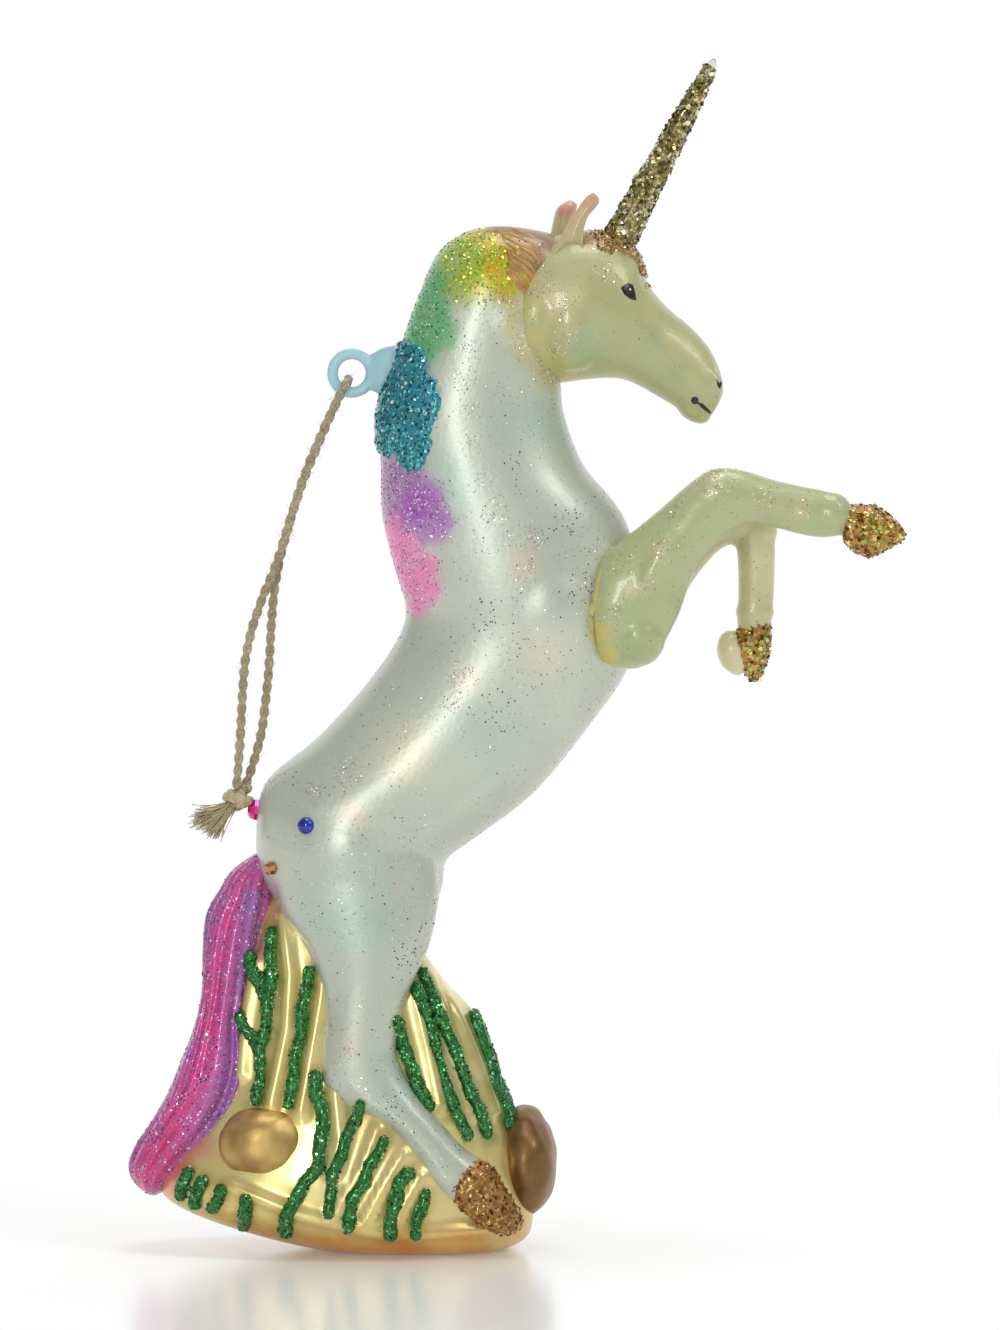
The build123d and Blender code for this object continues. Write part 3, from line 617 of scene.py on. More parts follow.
# %% Horn and its crust
HORN_FOOT = Vector((0.191 * HEIGHT, 0, 1.004 * HEIGHT))
HORN_TIP = Vector((0.2885 * HEIGHT, 0, 1.1885 * HEIGHT))
HORN_GLASS = [(0.0, 1.9), (0.3, 1.6), (0.6, 1.2), (0.85, 0.85), (0.95, 0.66), (0.985, 0.5), (1.0, 0.12)]
HORN_CRUST = [(0.02, 2.15), (0.06, 2.35), (0.3, 2.0), (0.6, 1.62), (0.85, 1.15), (0.945, 0.92), (0.958, 0.6)]
horn_axis = (HORN_TIP - HORN_FOOT).normalized()
horn_side = Vector((0, 1, 0))
horn_front = horn_side.cross(horn_axis)
horn_length = (HORN_TIP - HORN_FOOT).length


def turned(outline, lump=0.0, around=64):
    """Turn radii along the horn's axis; outline pairs are a share and mm."""
    table = eased(outline, 8)
    verts = []
    for share, radius in table:
        for k in range(around):
            angle = 2 * math.pi * k / around
            out = horn_front * math.cos(angle) + horn_side * math.sin(angle)
            place = HORN_FOOT + horn_axis * share * horn_length
            spot = place + out * 2 * MM
            bump = noise.noise(spot / (0.9 * MM)) + 0.5 * noise.noise(spot / (0.4 * MM))
            verts.append(place + out * (radius + lump * bump) * MM)
    return verts, ring_faces(len(table), around)


horn_glass = new_piece("horn_glass", *turned(HORN_GLASS))
horn_crust = new_piece("horn_crust", *turned(HORN_CRUST, lump=0.16))
stands_for("horn")
stands_for("horn_glitter_coat")
print("horn", round(horn_length / MM, 1), "mm long")

# %% [markdown]
# ## Hooves
# The hooves are dipped in glue and then in gold glitter. They are small lofts,
# a little wider than the leg, with a lumpy skin. The far fore hoof missed the
# glitter on one side, where bare glass shows.

# %% Hoof skins
def lumpy(piece, amount, size):
    """Push a skin about with noise, as a thick coat of glue does."""
    verts = vertices_of(piece)
    normals = normals_of(piece)
    for i, (vert, normal) in enumerate(zip(verts, normals)):
        spot = Vector(vert) / (size * MM)
        verts[i] = vert + normal * amount * MM * (noise.noise(spot) + 0.6 * noise.noise(spot * 2.3))
    move_vertices(piece, verts)


NEAR_HOOF = [
    (0.419, 0.742, 0.415, 0.716, 2.0, -6.2, 2.2),
    (0.424, 0.745, 0.417, 0.708, 2.5, -6.2, 2.3),
    (0.436, 0.746, 0.428, 0.698, 2.9, -6.2, 2.3),
    (0.454, 0.741, 0.444, 0.694, 2.9, -6.2, 2.3),
    (0.470, 0.728, 0.460, 0.702, 2.1, -6.2, 2.2),
    (0.477, 0.716, 0.470, 0.707, 0.9, -6.2),
]
FAR_HOOF = [
    (0.318, 0.626, 0.345, 0.628, 2.0, 6.5, 2.2),
    (0.311, 0.614, 0.347, 0.621, 2.6, 6.5, 2.3),
    (0.306, 0.598, 0.346, 0.600, 2.8, 6.5, 2.3),
    (0.313, 0.584, 0.343, 0.585, 2.4, 6.5, 2.3),
    (0.321, 0.574, 0.339, 0.575, 1.6, 6.5, 2.1),
    (0.327, 0.566, 0.335, 0.566, 0.8, 6.5),
]
HIND_HOOF = [
    (0.022, 0.056, 0.038, 0.100, 4.2, -9.3, 2.4),
    (0.027, 0.052, 0.045, 0.102, 4.9, -9.3, 2.5),
    (0.040, 0.040, 0.066, 0.090, 5.0, -9.2, 2.5),
    (0.060, 0.026, 0.084, 0.060, 4.7, -8.8, 2.5),
    (0.078, 0.020, 0.096, 0.042, 3.8, -8.2, 2.4),
    (0.088, 0.021, 0.098, 0.032, 2.2, -7.8, 2.2),
]
hooves = {}
for node_name, rows, slot in (
    ("fore_hoof_near", NEAR_HOOF, "gold_glitter"),
    ("fore_hoof_far", FAR_HOOF, "gold_glitter"),
    ("hind_hoof_near", HIND_HOOF, "hoof_glitter"),
    ("hind_hoof_far", far_side(HIND_HOOF), "hoof_glitter"),
):
    hoof = melted(node_name + "_skin", [loft_arrays(rows, around=32, steps=6)], voxel=0.28, relax=4)
    lumpy(hoof, amount=0.22, size=0.9)
    stands_for(node_name)
    hooves[node_name] = hoof
bare_arrays = oval_arrays((0.3095, 0.595, 6.2), (2.3, 2.5, 3.3), tilt=-0.30)
bare_hoof = new_piece("fore_hoof_far_bare_glass", *bare_arrays)
lumpy(bare_hoof, amount=0.12, size=1.0)

# %% [markdown]
# ## Stones
# Three boulders swell out of the base, one on each flank and one at the front.
# They are blown with the base, so they are smooth, only a little uneven.

# %% Stone skins
def stone_skin(node_name, middle, size):
    """An uneven oval boulder."""
    piece = new_piece(node_name + "_skin", *oval_arrays(middle, size, around=48, rings=30))
    lumpy(piece, amount=0.35, size=5.0)
    stands_for(node_name)
    return piece


REAR_STONE = (6.4, 4.4, 5.3)
stones = [
    stone_skin("rear_stone_near", (-0.159, 0.113, -10.8), REAR_STONE),
    stone_skin("rear_stone_far", (-0.159, 0.113, 10.8), REAR_STONE),
    stone_skin("front_stone", (0.100, 0.088, 0), (4.5, 8.6, 7.9)),
]
print("stones", len(stones))

# %% [markdown]
# ## Hanging ring
# The ring is a bent glass rod whose two ends are fused to the back of the neck.
# A ring of circles and a flared foot are melted together with fine voxels.

# %% Ring skin
RING_RADIUS = 2.75
RING_BAR = 0.8
RING_FOOT = [
    (-0.0585, 0.8920, -0.0585, 0.8610, 0.7),
    (-0.0500, 0.8970, -0.0500, 0.8570, 1.3),
    (-0.0400, 0.9020, -0.0400, 0.8520, 1.9),
    (-0.0200, 0.9050, -0.0200, 0.8480, 2.4),
]


def ring_arrays(around=56, tube=20):
    """The closed rod of the ring."""
    verts = []
    for i in range(around):
        a = 2 * math.pi * i / around
        for k in range(tube):
            b = 2 * math.pi * k / tube
            r = RING_RADIUS + RING_BAR * math.cos(b)
            place = Vector((r * math.cos(a), RING_BAR * math.sin(b), r * math.sin(a)))
            verts.append(RING_MIDDLE + place * MM)
    return verts, ring_faces(around, tube, ends="joined")


foot_arrays = loft_arrays(RING_FOOT, around=24, steps=4)
ring_skin = melted("ring_skin", [ring_arrays(), foot_arrays], voxel=0.2, relax=6)
stands_for("hanging_ring")

# %% [markdown]
# ## Looking up the skin
# Beads of glue, gems and painted eyes all lie on the glass. A tree of the
# skins' faces tells us where a straight line from the side meets them.

# %% Find a place on the skin
def tree_of(pieces):
    """A search tree over the faces of several pieces."""
    verts, faces, start = [], [], 0
    for piece in pieces:
        verts.extend(v.co.copy() for v in piece.data.vertices)
        faces.extend(tuple(index + start for index in p.vertices) for p in piece.data.polygons)
        start = len(verts)
    return BVHTree.FromPolygons(verts, faces)


ground_tree = tree_of([base_skin, body_skin, tail_skin] + stones)
head_tree = tree_of([head_skin, body_skin])


def on_skin(tree, share_x, share_z, side):
    """Place and outward normal where the skin is met from one side."""
    x, z = at(share_x, share_z)
    place, normal, _, _ = tree.ray_cast(Vector((x, side * 0.1, z)), Vector((0, -side, 0)))
    if place is None:
        place, normal, _, _ = tree.find_nearest(Vector((x, side * 0.01, z)))
    if normal.y * side < 0:
        normal = -normal
    return place, normal


print("a place on the flank", on_skin(ground_tree, -0.1, 0.43, -1)[0])

# %% [markdown]
# ## Grass
# Each blade is a bead of green glitter glue squeezed from a bottle along the
# base, about two millimetres wide, with side shoots. The same lines are laid on
# the far side. Round blobs along a line, melted together, give the hand-made
# edge of such a bead.

# %% Grass beads
GRASS = [
    [(-0.151, 0.321), (-0.153, 0.296), (-0.151, 0.272), (-0.156, 0.250), (-0.157, 0.225), (-0.164, 0.205),
     (-0.162, 0.180), (-0.167, 0.152)],
    [(-0.175, 0.296), (-0.172, 0.282), (-0.162, 0.268), (-0.159, 0.254)],
    [(-0.184, 0.239), (-0.180, 0.226), (-0.170, 0.216), (-0.165, 0.204)],
    [(-0.114, 0.283), (-0.117, 0.265), (-0.122, 0.245), (-0.121, 0.222), (-0.128, 0.202), (-0.129, 0.178),
     (-0.135, 0.150)],
    [(-0.109, 0.180), (-0.108, 0.164), (-0.101, 0.148), (-0.100, 0.128), (-0.104, 0.108), (-0.104, 0.092),
     (-0.118, 0.078), (-0.126, 0.062), (-0.136, 0.046), (-0.138, 0.024)],
    [(-0.063, 0.155), (-0.068, 0.138), (-0.078, 0.122), (-0.082, 0.104), (-0.091, 0.086), (-0.092, 0.066),
     (-0.094, 0.044)],
    [(-0.041, 0.118), (-0.046, 0.106), (-0.056, 0.094), (-0.060, 0.078), (-0.072, 0.062), (-0.074, 0.046),
     (-0.075, 0.030)],
    [(-0.016, 0.086), (-0.026, 0.078), (-0.026, 0.062), (-0.032, 0.046), (-0.034, 0.022)],
    [(0.001, 0.066), (-0.001, 0.054), (-0.008, 0.040), (-0.009, 0.022)],
    [(-0.234, 0.082), (-0.240, 0.070), (-0.243, 0.056)],
    [(-0.220, 0.075), (-0.226, 0.063), (-0.228, 0.050)],
    [(-0.201, 0.068), (-0.205, 0.056), (-0.212, 0.046)],
    [(-0.176, 0.061), (-0.177, 0.046), (-0.180, 0.028)],
    [(-0.028, 0.236), (-0.022, 0.212), (-0.014, 0.190), (-0.006, 0.168), (0.006, 0.148)],
    [(-0.009, 0.268), (0.004, 0.232), (0.012, 0.200), (0.022, 0.165), (0.030, 0.145), (0.044, 0.118)],
    [(-0.003, 0.280), (0.014, 0.242), (0.030, 0.205), (0.044, 0.165), (0.054, 0.145), (0.062, 0.118)],
    [(0.048, 0.233), (0.056, 0.210), (0.064, 0.188), (0.070, 0.165), (0.080, 0.146), (0.084, 0.124)],
]
BLOB_STEP = 0.45 * MM


def blob_arrays(place, radius, around=8, rings=5):
    """A small round blob for melting."""
    directions, faces = globe_arrays(around, rings)
    return [tuple(place + radius * Vector(direction)) for direction in directions], faces


def bead_blobs(line, side, width):
    """Blobs along one line on the skin."""
    parts = []
    for (x1, z1), (x2, z2) in zip(line, line[1:]):
        count = max(2, int(math.hypot(x2 - x1, z2 - z1) * HEIGHT / BLOB_STEP))
        for k in range(count):
            t = k / count
            place, normal = on_skin(ground_tree, x1 + (x2 - x1) * t, z1 + (z2 - z1) * t, side)
            wobble = 1 + 0.24 * noise.noise(place / (1.5 * MM)) + 0.14 * noise.noise(place / (0.6 * MM))
            parts.append(blob_arrays(place + normal * 0.15 * MM, width * wobble * MM))
    return parts


grass = []
for name, side in (("near", -1), ("far", 1)):
    blobs = []
    for number, line in enumerate(GRASS):
        blobs.extend(bead_blobs(line, side, 1.02 + 0.10 * math.sin(number * 2.1)))
    beads = melted("grass_" + name, blobs, voxel=0.32, relax=3)
    lumpy(beads, amount=0.13, size=0.55)
    stands_for("grass_beads_" + name)
    grass.append(beads)

# %% [markdown]
# ## Mane crust
# One patch of the mane is a thick crust of coarse teal glitter that wraps round
# the back of the neck and leaves the ring free. Blobs on the skin inside a given
# outline are melted into one crust.

# %% Mane crust
CRUST_OUTLINE = [
    (-0.062, 0.902), (-0.020, 0.906), (-0.004, 0.900), (0.000, 0.882), (0.012, 0.866), (0.014, 0.845),
    (0.006, 0.826), (0.003, 0.800), (-0.002, 0.784), (-0.012, 0.779), (-0.024, 0.784), (-0.030, 0.796),
    (-0.062, 0.800),
]


def inside(share_x, share_z, outline):
    """Whether a place lies inside a closed outline."""
    odd = False
    for (x1, z1), (x2, z2) in zip(outline, outline[1:] + outline[:1]):
        if (z1 > share_z) != (z2 > share_z):
            if share_x < x1 + (share_z - z1) / (z2 - z1) * (x2 - x1):
                odd = not odd
    return odd


RING_CLEARANCE = 3.75 * MM


def crust_blobs(skin, outline, ragged, thick, grain, sink):
    """Blobs on a skin inside an outline, whose edge is ragged; sizes are in mm."""
    blobs = []
    for vertex in skin.data.vertices:
        place = vertex.co
        wander = 0.004 * noise.noise(place / (ragged * MM))
        within = inside(place.x / HEIGHT + wander, place.z / HEIGHT + wander, outline)
        if within and (place - RING_MIDDLE).length > RING_CLEARANCE:
            radius = thick + 0.14 * noise.noise(place / (grain * MM))
            blobs.append(blob_arrays(place - vertex.normal * sink * MM, radius * MM, around=6, rings=4))
    return blobs


crust_parts = crust_blobs(body_skin, CRUST_OUTLINE, ragged=2.0, thick=0.62, grain=0.8, sink=0.1)
mane_crust = melted("mane_crust", crust_parts, voxel=0.32, relax=2)
lumpy(mane_crust, amount=0.12, size=0.5)
stands_for("mane_glitter_crust")

# %% [markdown]
# ## Forelock
# Copper glitter is heaped round the foot of the horn. It is made the same way
# as the mane's crust, with finer blobs.

# %% Forelock crust
FORELOCK = [
    (0.172, 1.006), (0.176, 1.030), (0.215, 1.030), (0.226, 0.990), (0.222, 0.972), (0.214, 0.974),
    (0.208, 0.992), (0.190, 0.998), (0.172, 1.000),
]
forelock_parts = crust_blobs(head_skin, FORELOCK, ragged=1.2, thick=0.34, grain=0.7, sink=0)
forelock = melted("forelock_crust", forelock_parts, voxel=0.24, relax=1)
lumpy(forelock, amount=0.14, size=0.5)

# %% [markdown]
# ## Strands and glue
# Behind the ears the mould has fine strands. Where the forelegs are glued on, a
# little yellow glue has been squeezed out along the joint. Both are thin
# tapering tubes laid on the skin and half sunk into it.

# %% Strands and glue rims
def tube_arrays(points, radius, around):
    """A round tube along a smooth line, with one radius for each point."""
    spots = np.array([tuple(p) for p in points])
    heading = np.gradient(spots, axis=0)
    heading /= np.linalg.norm(heading, axis=1)[:, None]
    side = np.array([0.3, 1.0, 0.2])
    verts = []
    for i, direction in enumerate(heading):
        side = side - direction * (side @ direction)
        side = side / np.linalg.norm(side)
        other = np.cross(direction, side)
        for k in range(around):
            angle = 2 * math.pi * k / around
            verts.append(spots[i] + radius[i] * (math.cos(angle) * side + math.sin(angle) * other))
    return verts, ring_faces(len(spots), around)


def line_on_skin(tree, line, side, radius, sink):
    """A thin tapering line of shares laid on the skin; radius and sink are in mm."""
    spots = []
    for (x1, z1), (x2, z2) in zip(line, line[1:]):
        for k in range(6):
            place, normal = on_skin(tree, x1 + (x2 - x1) * k / 6, z1 + (z2 - z1) * k / 6, side)
            spots.append(place - normal * sink * MM)
    radii = []
    for i, spot in enumerate(spots):
        taper = 0.25 + 0.75 * math.sin(math.pi * (i + 0.5) / len(spots))
        radii.append(radius * MM * taper * (1 + 0.2 * noise.noise(spot / (1.1 * MM))))
    return tube_arrays(spots, radii, around=8)


STRANDS = 9
STRAND_DROP = 0.0072
ARM_GLUE = [
    (0.192, 0.712), (0.178, 0.692), (0.171, 0.670), (0.167, 0.645), (0.167, 0.617), (0.172, 0.594),
    (0.182, 0.582),
]
body_tree = tree_of([body_skin])
strand_parts, glue_parts = [], []
for side, leg in ((-1, near_leg), (1, far_leg)):
    for k in range(STRANDS):
        drop = STRAND_DROP * k
        line = [(0.062 + 0.004 * k, 1.020 - drop * 0.5), (0.084, 1.021 - drop * 0.8),
                (0.106, 1.013 - drop * 1.1), (0.122, 0.998 - drop * 1.5)]
        strand_parts.append(line_on_skin(body_tree, line, side, radius=0.42 + 0.06 * (k % 3), sink=0.28))
    glue_parts.append(line_on_skin(tree_of([leg, body_skin]), ARM_GLUE, side, radius=1.05, sink=0.75))
strands = new_piece("poll_strands", *joined(strand_parts))
glue = new_piece("glue_rims", *joined(glue_parts))
print("strands", len(strand_parts), "glue rims", len(glue_parts))

# %% [markdown]
# ## Airbrushed colour
# The maker sprays the mane's bands, and we spray them the same way. Some
# strokes are painted highlight and painted shade. A stroke is a few places with a
# radius and a colour, and each vertex takes as much of the colour as the strokes
# that reach it leave there. The result is a colour attribute that the shader reads.

# %% Spray colour on a skin
def rgb(red, green, blue):
    """A colour as a painter reads it off a screen, in Blender's linear terms."""
    return tuple((value / 255 / 12.92) if value < 10 else ((value / 255 + 0.055) / 1.055) ** 2.4
                 for value in (red, green, blue))


def rgba(colour):
    """A colour with full alpha."""
    return tuple(colour) + (1.0,)


def spray(piece, ground, strokes, speckle=0.35):
    """Colour a skin's vertices; a stroke is colour, strength, softness and places."""
    verts = vertices_of(piece)
    xz = verts[:, [0, 2]] / HEIGHT
    grain = np.array([noise.noise(Vector(v) / (1.6 * MM)) + 0.6 * noise.noise(Vector(v) / (0.5 * MM))
                      for v in verts])
    colours = np.tile(np.array(rgba(ground)), (len(verts), 1))
    for colour, strength, softness, places in strokes:
        cover = np.zeros(len(verts))
        for share_x, share_z, radius in places:
            reach = np.hypot(xz[:, 0] - share_x, xz[:, 1] - share_z) - radius
            reach = reach + grain * speckle * softness
            cover = np.maximum(cover, 1 / (1 + np.exp(reach / softness * 4)))
        cover = (cover * strength)[:, None]
        colours[:, :3] = colours[:, :3] * (1 - cover) + np.array(colour) * cover
    layer = piece.data.color_attributes.new("spray", "FLOAT_COLOR", "POINT")
    layer.data.foreach_set("color", colours.ravel())
    print(piece.name, "sprayed with", len(strokes), "strokes")


def trail(places, count=6):
    """Fill in places between the given ones, for an unbroken stripe."""
    out = []
    for a, b in zip(places, places[1:]):
        out.extend(tuple(p + (q - p) * k / count for p, q in zip(a, b)) for k in range(count))
    return out + [places[-1]]


PEARL = rgb(190, 199, 182)
GOLD, LEAF = rgb(204, 172, 26), rgb(54, 178, 102)
TEAL, PURPLE, PINK = rgb(28, 140, 156), rgb(172, 80, 188), rgb(250, 92, 190)
PAINTED_PEACH_HIGHLIGHT, CREAM, MINT = rgb(240, 196, 164), rgb(234, 222, 188), rgb(168, 202, 182)
NECK_EDGE = trail([(0.104, 0.975, 0.012), (0.092, 0.948, 0.012), (0.090, 0.925, 0.012), (0.100, 0.900, 0.012),
                   (0.118, 0.878, 0.012), (0.135, 0.868, 0.010)], 3)
spray(body_skin, PEARL, [
    (MINT, 0.7, 0.030, [
        (-0.075, 0.350, 0.05), (-0.030, 0.180, 0.03), (0.06, 0.52, 0.04), (0.02, 0.76, 0.03),
        (0.11, 0.83, 0.02)]),
    (CREAM, 0.6, 0.024, [(0.000, 0.240, 0.02), (-0.02, 0.50, 0.03), (0.12, 0.60, 0.02), (0.190, 0.64, 0.02)]),
    # Peach patches where highlights fall on the neck, flank, haunch and shin: painted highlight.
    (PAINTED_PEACH_HIGHLIGHT, 0.35, 0.016, [
        (0.100, 0.690, 0.015), (0.045, 0.570, 0.012), (-0.070, 0.440, 0.012), (-0.075, 0.215, 0.010)]),
    (rgb(200, 188, 112), 0.8, 0.018, NECK_EDGE),
    (PINK, 0.9, 0.010, [
        (-0.010, 0.680, 0.024), (0.002, 0.660, 0.014), (-0.028, 0.705, 0.024), (-0.006, 0.645, 0.010),
        (-0.024, 0.680, 0.016)]),
    (PURPLE, 0.95, 0.009, [
        (-0.026, 0.775, 0.026), (-0.010, 0.748, 0.030), (0.006, 0.728, 0.022), (-0.036, 0.745, 0.022),
        (-0.034, 0.785, 0.018)]),
    (PINK, 0.7, 0.010, [(-0.034, 0.722, 0.012), (-0.022, 0.708, 0.012)]),
    (LEAF, 0.95, 0.010, [
        (0.004, 0.965, 0.024), (0.002, 0.935, 0.026), (0.012, 0.915, 0.020), (-0.004, 0.905, 0.022),
        (0.016, 0.985, 0.016)]),
    (GOLD, 1.0, 0.010, [
        (0.044, 1.010, 0.026), (0.066, 0.990, 0.034), (0.088, 0.985, 0.030), (0.050, 0.972, 0.020),
        (0.078, 0.962, 0.014)]),
    (rgb(158, 184, 40), 0.9, 0.014, [
        (0.026, 1.002, 0.016), (0.036, 0.982, 0.020), (0.048, 0.996, 0.012), (0.034, 0.958, 0.014),
        (0.050, 0.966, 0.008)]),
    (rgb(142, 82, 20), 0.95, 0.012, [
        (0.074, 1.022, 0.012), (0.092, 1.014, 0.020), (0.112, 1.004, 0.024), (0.118, 0.980, 0.018),
        (0.100, 0.985, 0.010)]),
    (TEAL, 1.0, 0.006, [(-0.020, 0.882, 0.024), (-0.010, 0.850, 0.026), (-0.020, 0.815, 0.022)]),
])

# %% [markdown]
# ## Colour of the head and forelegs
# These are frosted pale green glass rather than lacquer. A warm yellow gathers
# where the head meets the neck and the legs meet the shoulders, copper runs
# between the ears, and the snout is a little paler. A peach patch on the cheek
# and paler patches on the leg joints are painted highlight, and darker patches
# along the legs' lower edges are painted shade.

# %% Spray the head and forelegs
spray(head_skin, rgb(176, 178, 122), [
    # Peach patch on the cheek, where highlights fall: painted highlight.
    (PAINTED_PEACH_HIGHLIGHT, 0.30, 0.026, [(0.128, 0.955, 0.022), (0.140, 0.925, 0.016), (0.150, 0.975, 0.014)]),
    (rgb(206, 184, 84), 0.65, 0.018, [
        (0.102, 0.970, 0.010), (0.098, 0.940, 0.010), (0.108, 0.905, 0.010), (0.122, 0.885, 0.012),
        (0.140, 0.868, 0.012)]),
    (rgb(150, 178, 136), 0.7, 0.018, [(0.165, 0.905, 0.020), (0.225, 0.900, 0.014), (0.250, 0.875, 0.010)]),
    (rgb(164, 100, 56), 0.85, 0.008, [
        (0.178, 1.012, 0.016), (0.160, 1.010, 0.010), (0.200, 1.000, 0.008), (0.130, 1.004, 0.006)]),
    (rgb(200, 192, 132), 0.5, 0.014, [(0.250, 0.905, 0.014), (0.270, 0.880, 0.012), (0.225, 0.940, 0.012)]),
])
for leg, ground in ((near_leg, rgb(176, 186, 138)), (far_leg, rgb(214, 206, 158))):
    spray(leg, ground, [
        (rgb(214, 194, 90), 0.85, 0.010, [
            (0.172, 0.620, 0.012), (0.178, 0.595, 0.014), (0.168, 0.650, 0.008), (0.166, 0.690, 0.006)]),
        # Paler patches on the elbow, upper arm and knee: painted highlight.
        (rgb(232, 214, 176), 0.6, 0.010, [
            (0.285, 0.765, 0.008), (0.232, 0.700, 0.008), (0.206, 0.664, 0.006), (0.372, 0.740, 0.006)]),
        # Darker patches along the lower edges of the legs: painted shade.
        (rgb(150, 166, 112), 0.5, 0.012, [
            (0.255, 0.650, 0.012), (0.340, 0.728, 0.010), (0.215, 0.600, 0.010)]),
    ])

# %% [markdown]
# ## Colour of the base and the tail
# The base is pale gold, with amber along its lower rim. Painted shade darkens
# it round each blade of grass, between the blades on the front slope and in
# amber patches in the valleys between its ribs.
# The tail is pink with a violet front edge and a blue rear edge.

# %% Spray the base and the tail
PALE_GOLD, AMBER_AND_SHADE = rgb(242, 224, 146), rgb(232, 160, 44)
FRONT_BLADES = 4


def blade_shade_places(blades):
    """Places all along some blades of grass, for painted shade round them."""
    return [place for blade in blades for place in trail([(x, z, 0.011) for x, z in blade], 3)]


spray(base_skin, PALE_GOLD, [
    (AMBER_AND_SHADE, 0.9, 0.014, [(x / 100, 0.004 + abs(x + 8) * 0.0010, 0.019) for x in range(-24, 12, 2)]),
    # Amber patches in the valleys between the ribs: painted shade. The band above is the rim's own amber.
    (AMBER_AND_SHADE, 0.55, 0.010, [
        (-0.150, 0.130, 0.012), (0.000, 0.150, 0.012), (0.010, 0.120, 0.010), (-0.110, 0.225, 0.006),
        (0.030, 0.075, 0.010), (-0.060, 0.130, 0.006), (-0.070, 0.090, 0.006)]),
    # Darker tint round the blades and on the front slope between them: painted shade.
    (rgb(196, 158, 66), 0.7, 0.009, blade_shade_places(GRASS[:-FRONT_BLADES])),
    (rgb(140, 142, 62), 0.75, 0.009, blade_shade_places(GRASS[-FRONT_BLADES:])),
    (rgb(168, 160, 78), 0.75, 0.014, [
        (0.020, 0.235, 0.012), (0.045, 0.200, 0.014), (0.030, 0.180, 0.010), (0.064, 0.170, 0.010)]),
    (rgb(238, 170, 150), 0.8, 0.012, [
        (-0.166, 0.300, 0.012), (-0.188, 0.240, 0.010), (-0.200, 0.180, 0.010), (-0.222, 0.110, 0.014)]),
    (rgb(240, 160, 150), 0.8, 0.010, [(-0.250, 0.075, 0.016), (-0.262, 0.060, 0.012)]),
])
VIOLET_EDGE = [(-0.172, 0.350, 0.012), (-0.176, 0.290, 0.012), (-0.182, 0.240, 0.012), (-0.192, 0.190, 0.012),
               (-0.200, 0.150, 0.014), (-0.222, 0.105, 0.012)]
ROSE_STRIPE = [(-0.186, 0.370, 0.005), (-0.202, 0.310, 0.006), (-0.209, 0.260, 0.007), (-0.214, 0.210, 0.008),
               (-0.234, 0.160, 0.009), (-0.256, 0.120, 0.011), (-0.275, 0.085, 0.014)]
BLUE_EDGE = [(-0.196, 0.385, 0.005), (-0.214, 0.352, 0.003), (-0.224, 0.310, 0.003), (-0.228, 0.260, 0.003),
             (-0.240, 0.212, 0.004), (-0.260, 0.165, 0.004), (-0.284, 0.128, 0.004), (-0.300, 0.095, 0.002)]
spray(tail_skin, rgb(206, 84, 160), [
    (rgb(160, 104, 182), 0.9, 0.010, trail(VIOLET_EDGE)),
    (rgb(240, 56, 138), 0.9, 0.010, trail(ROSE_STRIPE)),
    (rgb(70, 130, 184), 0.7, 0.006, trail(BLUE_EDGE)),
    (rgb(240, 120, 150), 0.8, 0.010, [(-0.285, 0.060, 0.010), (-0.265, 0.054, 0.010)]),
])

# %% [markdown]
# ## Shader groups
# Three effects come back in many finishes, so each is built once as a group:
# a slow drift of colour, glitter set in lacquer, and the faint unevenness of
# blown glass. A group gives out colours, masks and heights only.

# %% Start a shader group
def group_start(name, sockets_in, sockets_out):
    """A new shader group with its inputs and outputs."""
    tree = bpy.data.node_groups.new(name, "ShaderNodeTree")
    for socket, kind, value in sockets_in:
        made = tree.interface.new_socket(socket, in_out="INPUT", socket_type=kind)
        made.default_value = value
    for socket, kind in sockets_out:
        tree.interface.new_socket(socket, in_out="OUTPUT", socket_type=kind)
    start = tree.nodes.new("NodeGroupInput")
    end = tree.nodes.new("NodeGroupOutput")
    return tree, start, end


def node(tree, kind, inputs=(), **settings):
    """Add a node, set it, and wire its inputs by name or number."""
    made = tree.nodes.new(kind)
    for key, value in settings.items():
        setattr(made, key, value)
    for key, value in dict(inputs).items():
        if isinstance(value, bpy.types.NodeSocket):
            tree.links.new(value, made.inputs[key])
        else:
            made.inputs[key].default_value = value
    return made


def maths(tree, operation, first, second):
    """The result of a Math node."""
    return node(tree, "ShaderNodeMath", {0: first, 1: second}, operation=operation).outputs[0]


def colour_mix(tree, share, first, second):
    """A blend of two colours."""
    return node(tree, "ShaderNodeMix", {0: share, 6: first, 7: second}, data_type="RGBA").outputs[2]


def object_place(tree):
    """Where a point of the surface lies on its own object."""
    return node(tree, "ShaderNodeTexCoord").outputs["Object"]


FLOAT, COLOUR = "NodeSocketFloat", "NodeSocketColor"
WHITE, BLACK = (1, 1, 1, 1), (0, 0, 0, 1)
print("groups can start")

# %% [markdown]
# ## Colour drift
# No sprayed or blown surface is one flat colour. A slow noise decides where the
# second colour shows through the first.

# %% Colour drift group
drift, start, end = group_start("Colour drift", [
    ("Colour", COLOUR, WHITE), ("Second colour", COLOUR, WHITE),
    ("Scale", FLOAT, 100.0), ("Amount", FLOAT, 0.5),
], [("Colour", COLOUR)])
cloud = node(drift, "ShaderNodeTexNoise", {
    "Vector": object_place(drift), "Scale": start.outputs["Scale"], "Detail": 3.0})
level = node(drift, "ShaderNodeMapRange", {"Value": cloud.outputs["Fac"], "From Min": 0.35, "From Max": 0.65})
share = maths(drift, "MULTIPLY", level.outputs["Result"], start.outputs["Amount"])
drifted = colour_mix(drift, share, start.outputs["Colour"], start.outputs["Second colour"])
drift.links.new(drifted, end.inputs["Colour"])
print("group", drift.name)

# %% [markdown]
# ## Glitter in lacquer
# Fine glitter is too small to model flake by flake, so Voronoi cells stand for
# it. The group picks some cells, gives each a tone between dark and bright, and
# makes them smoother, more metallic and a little raised.

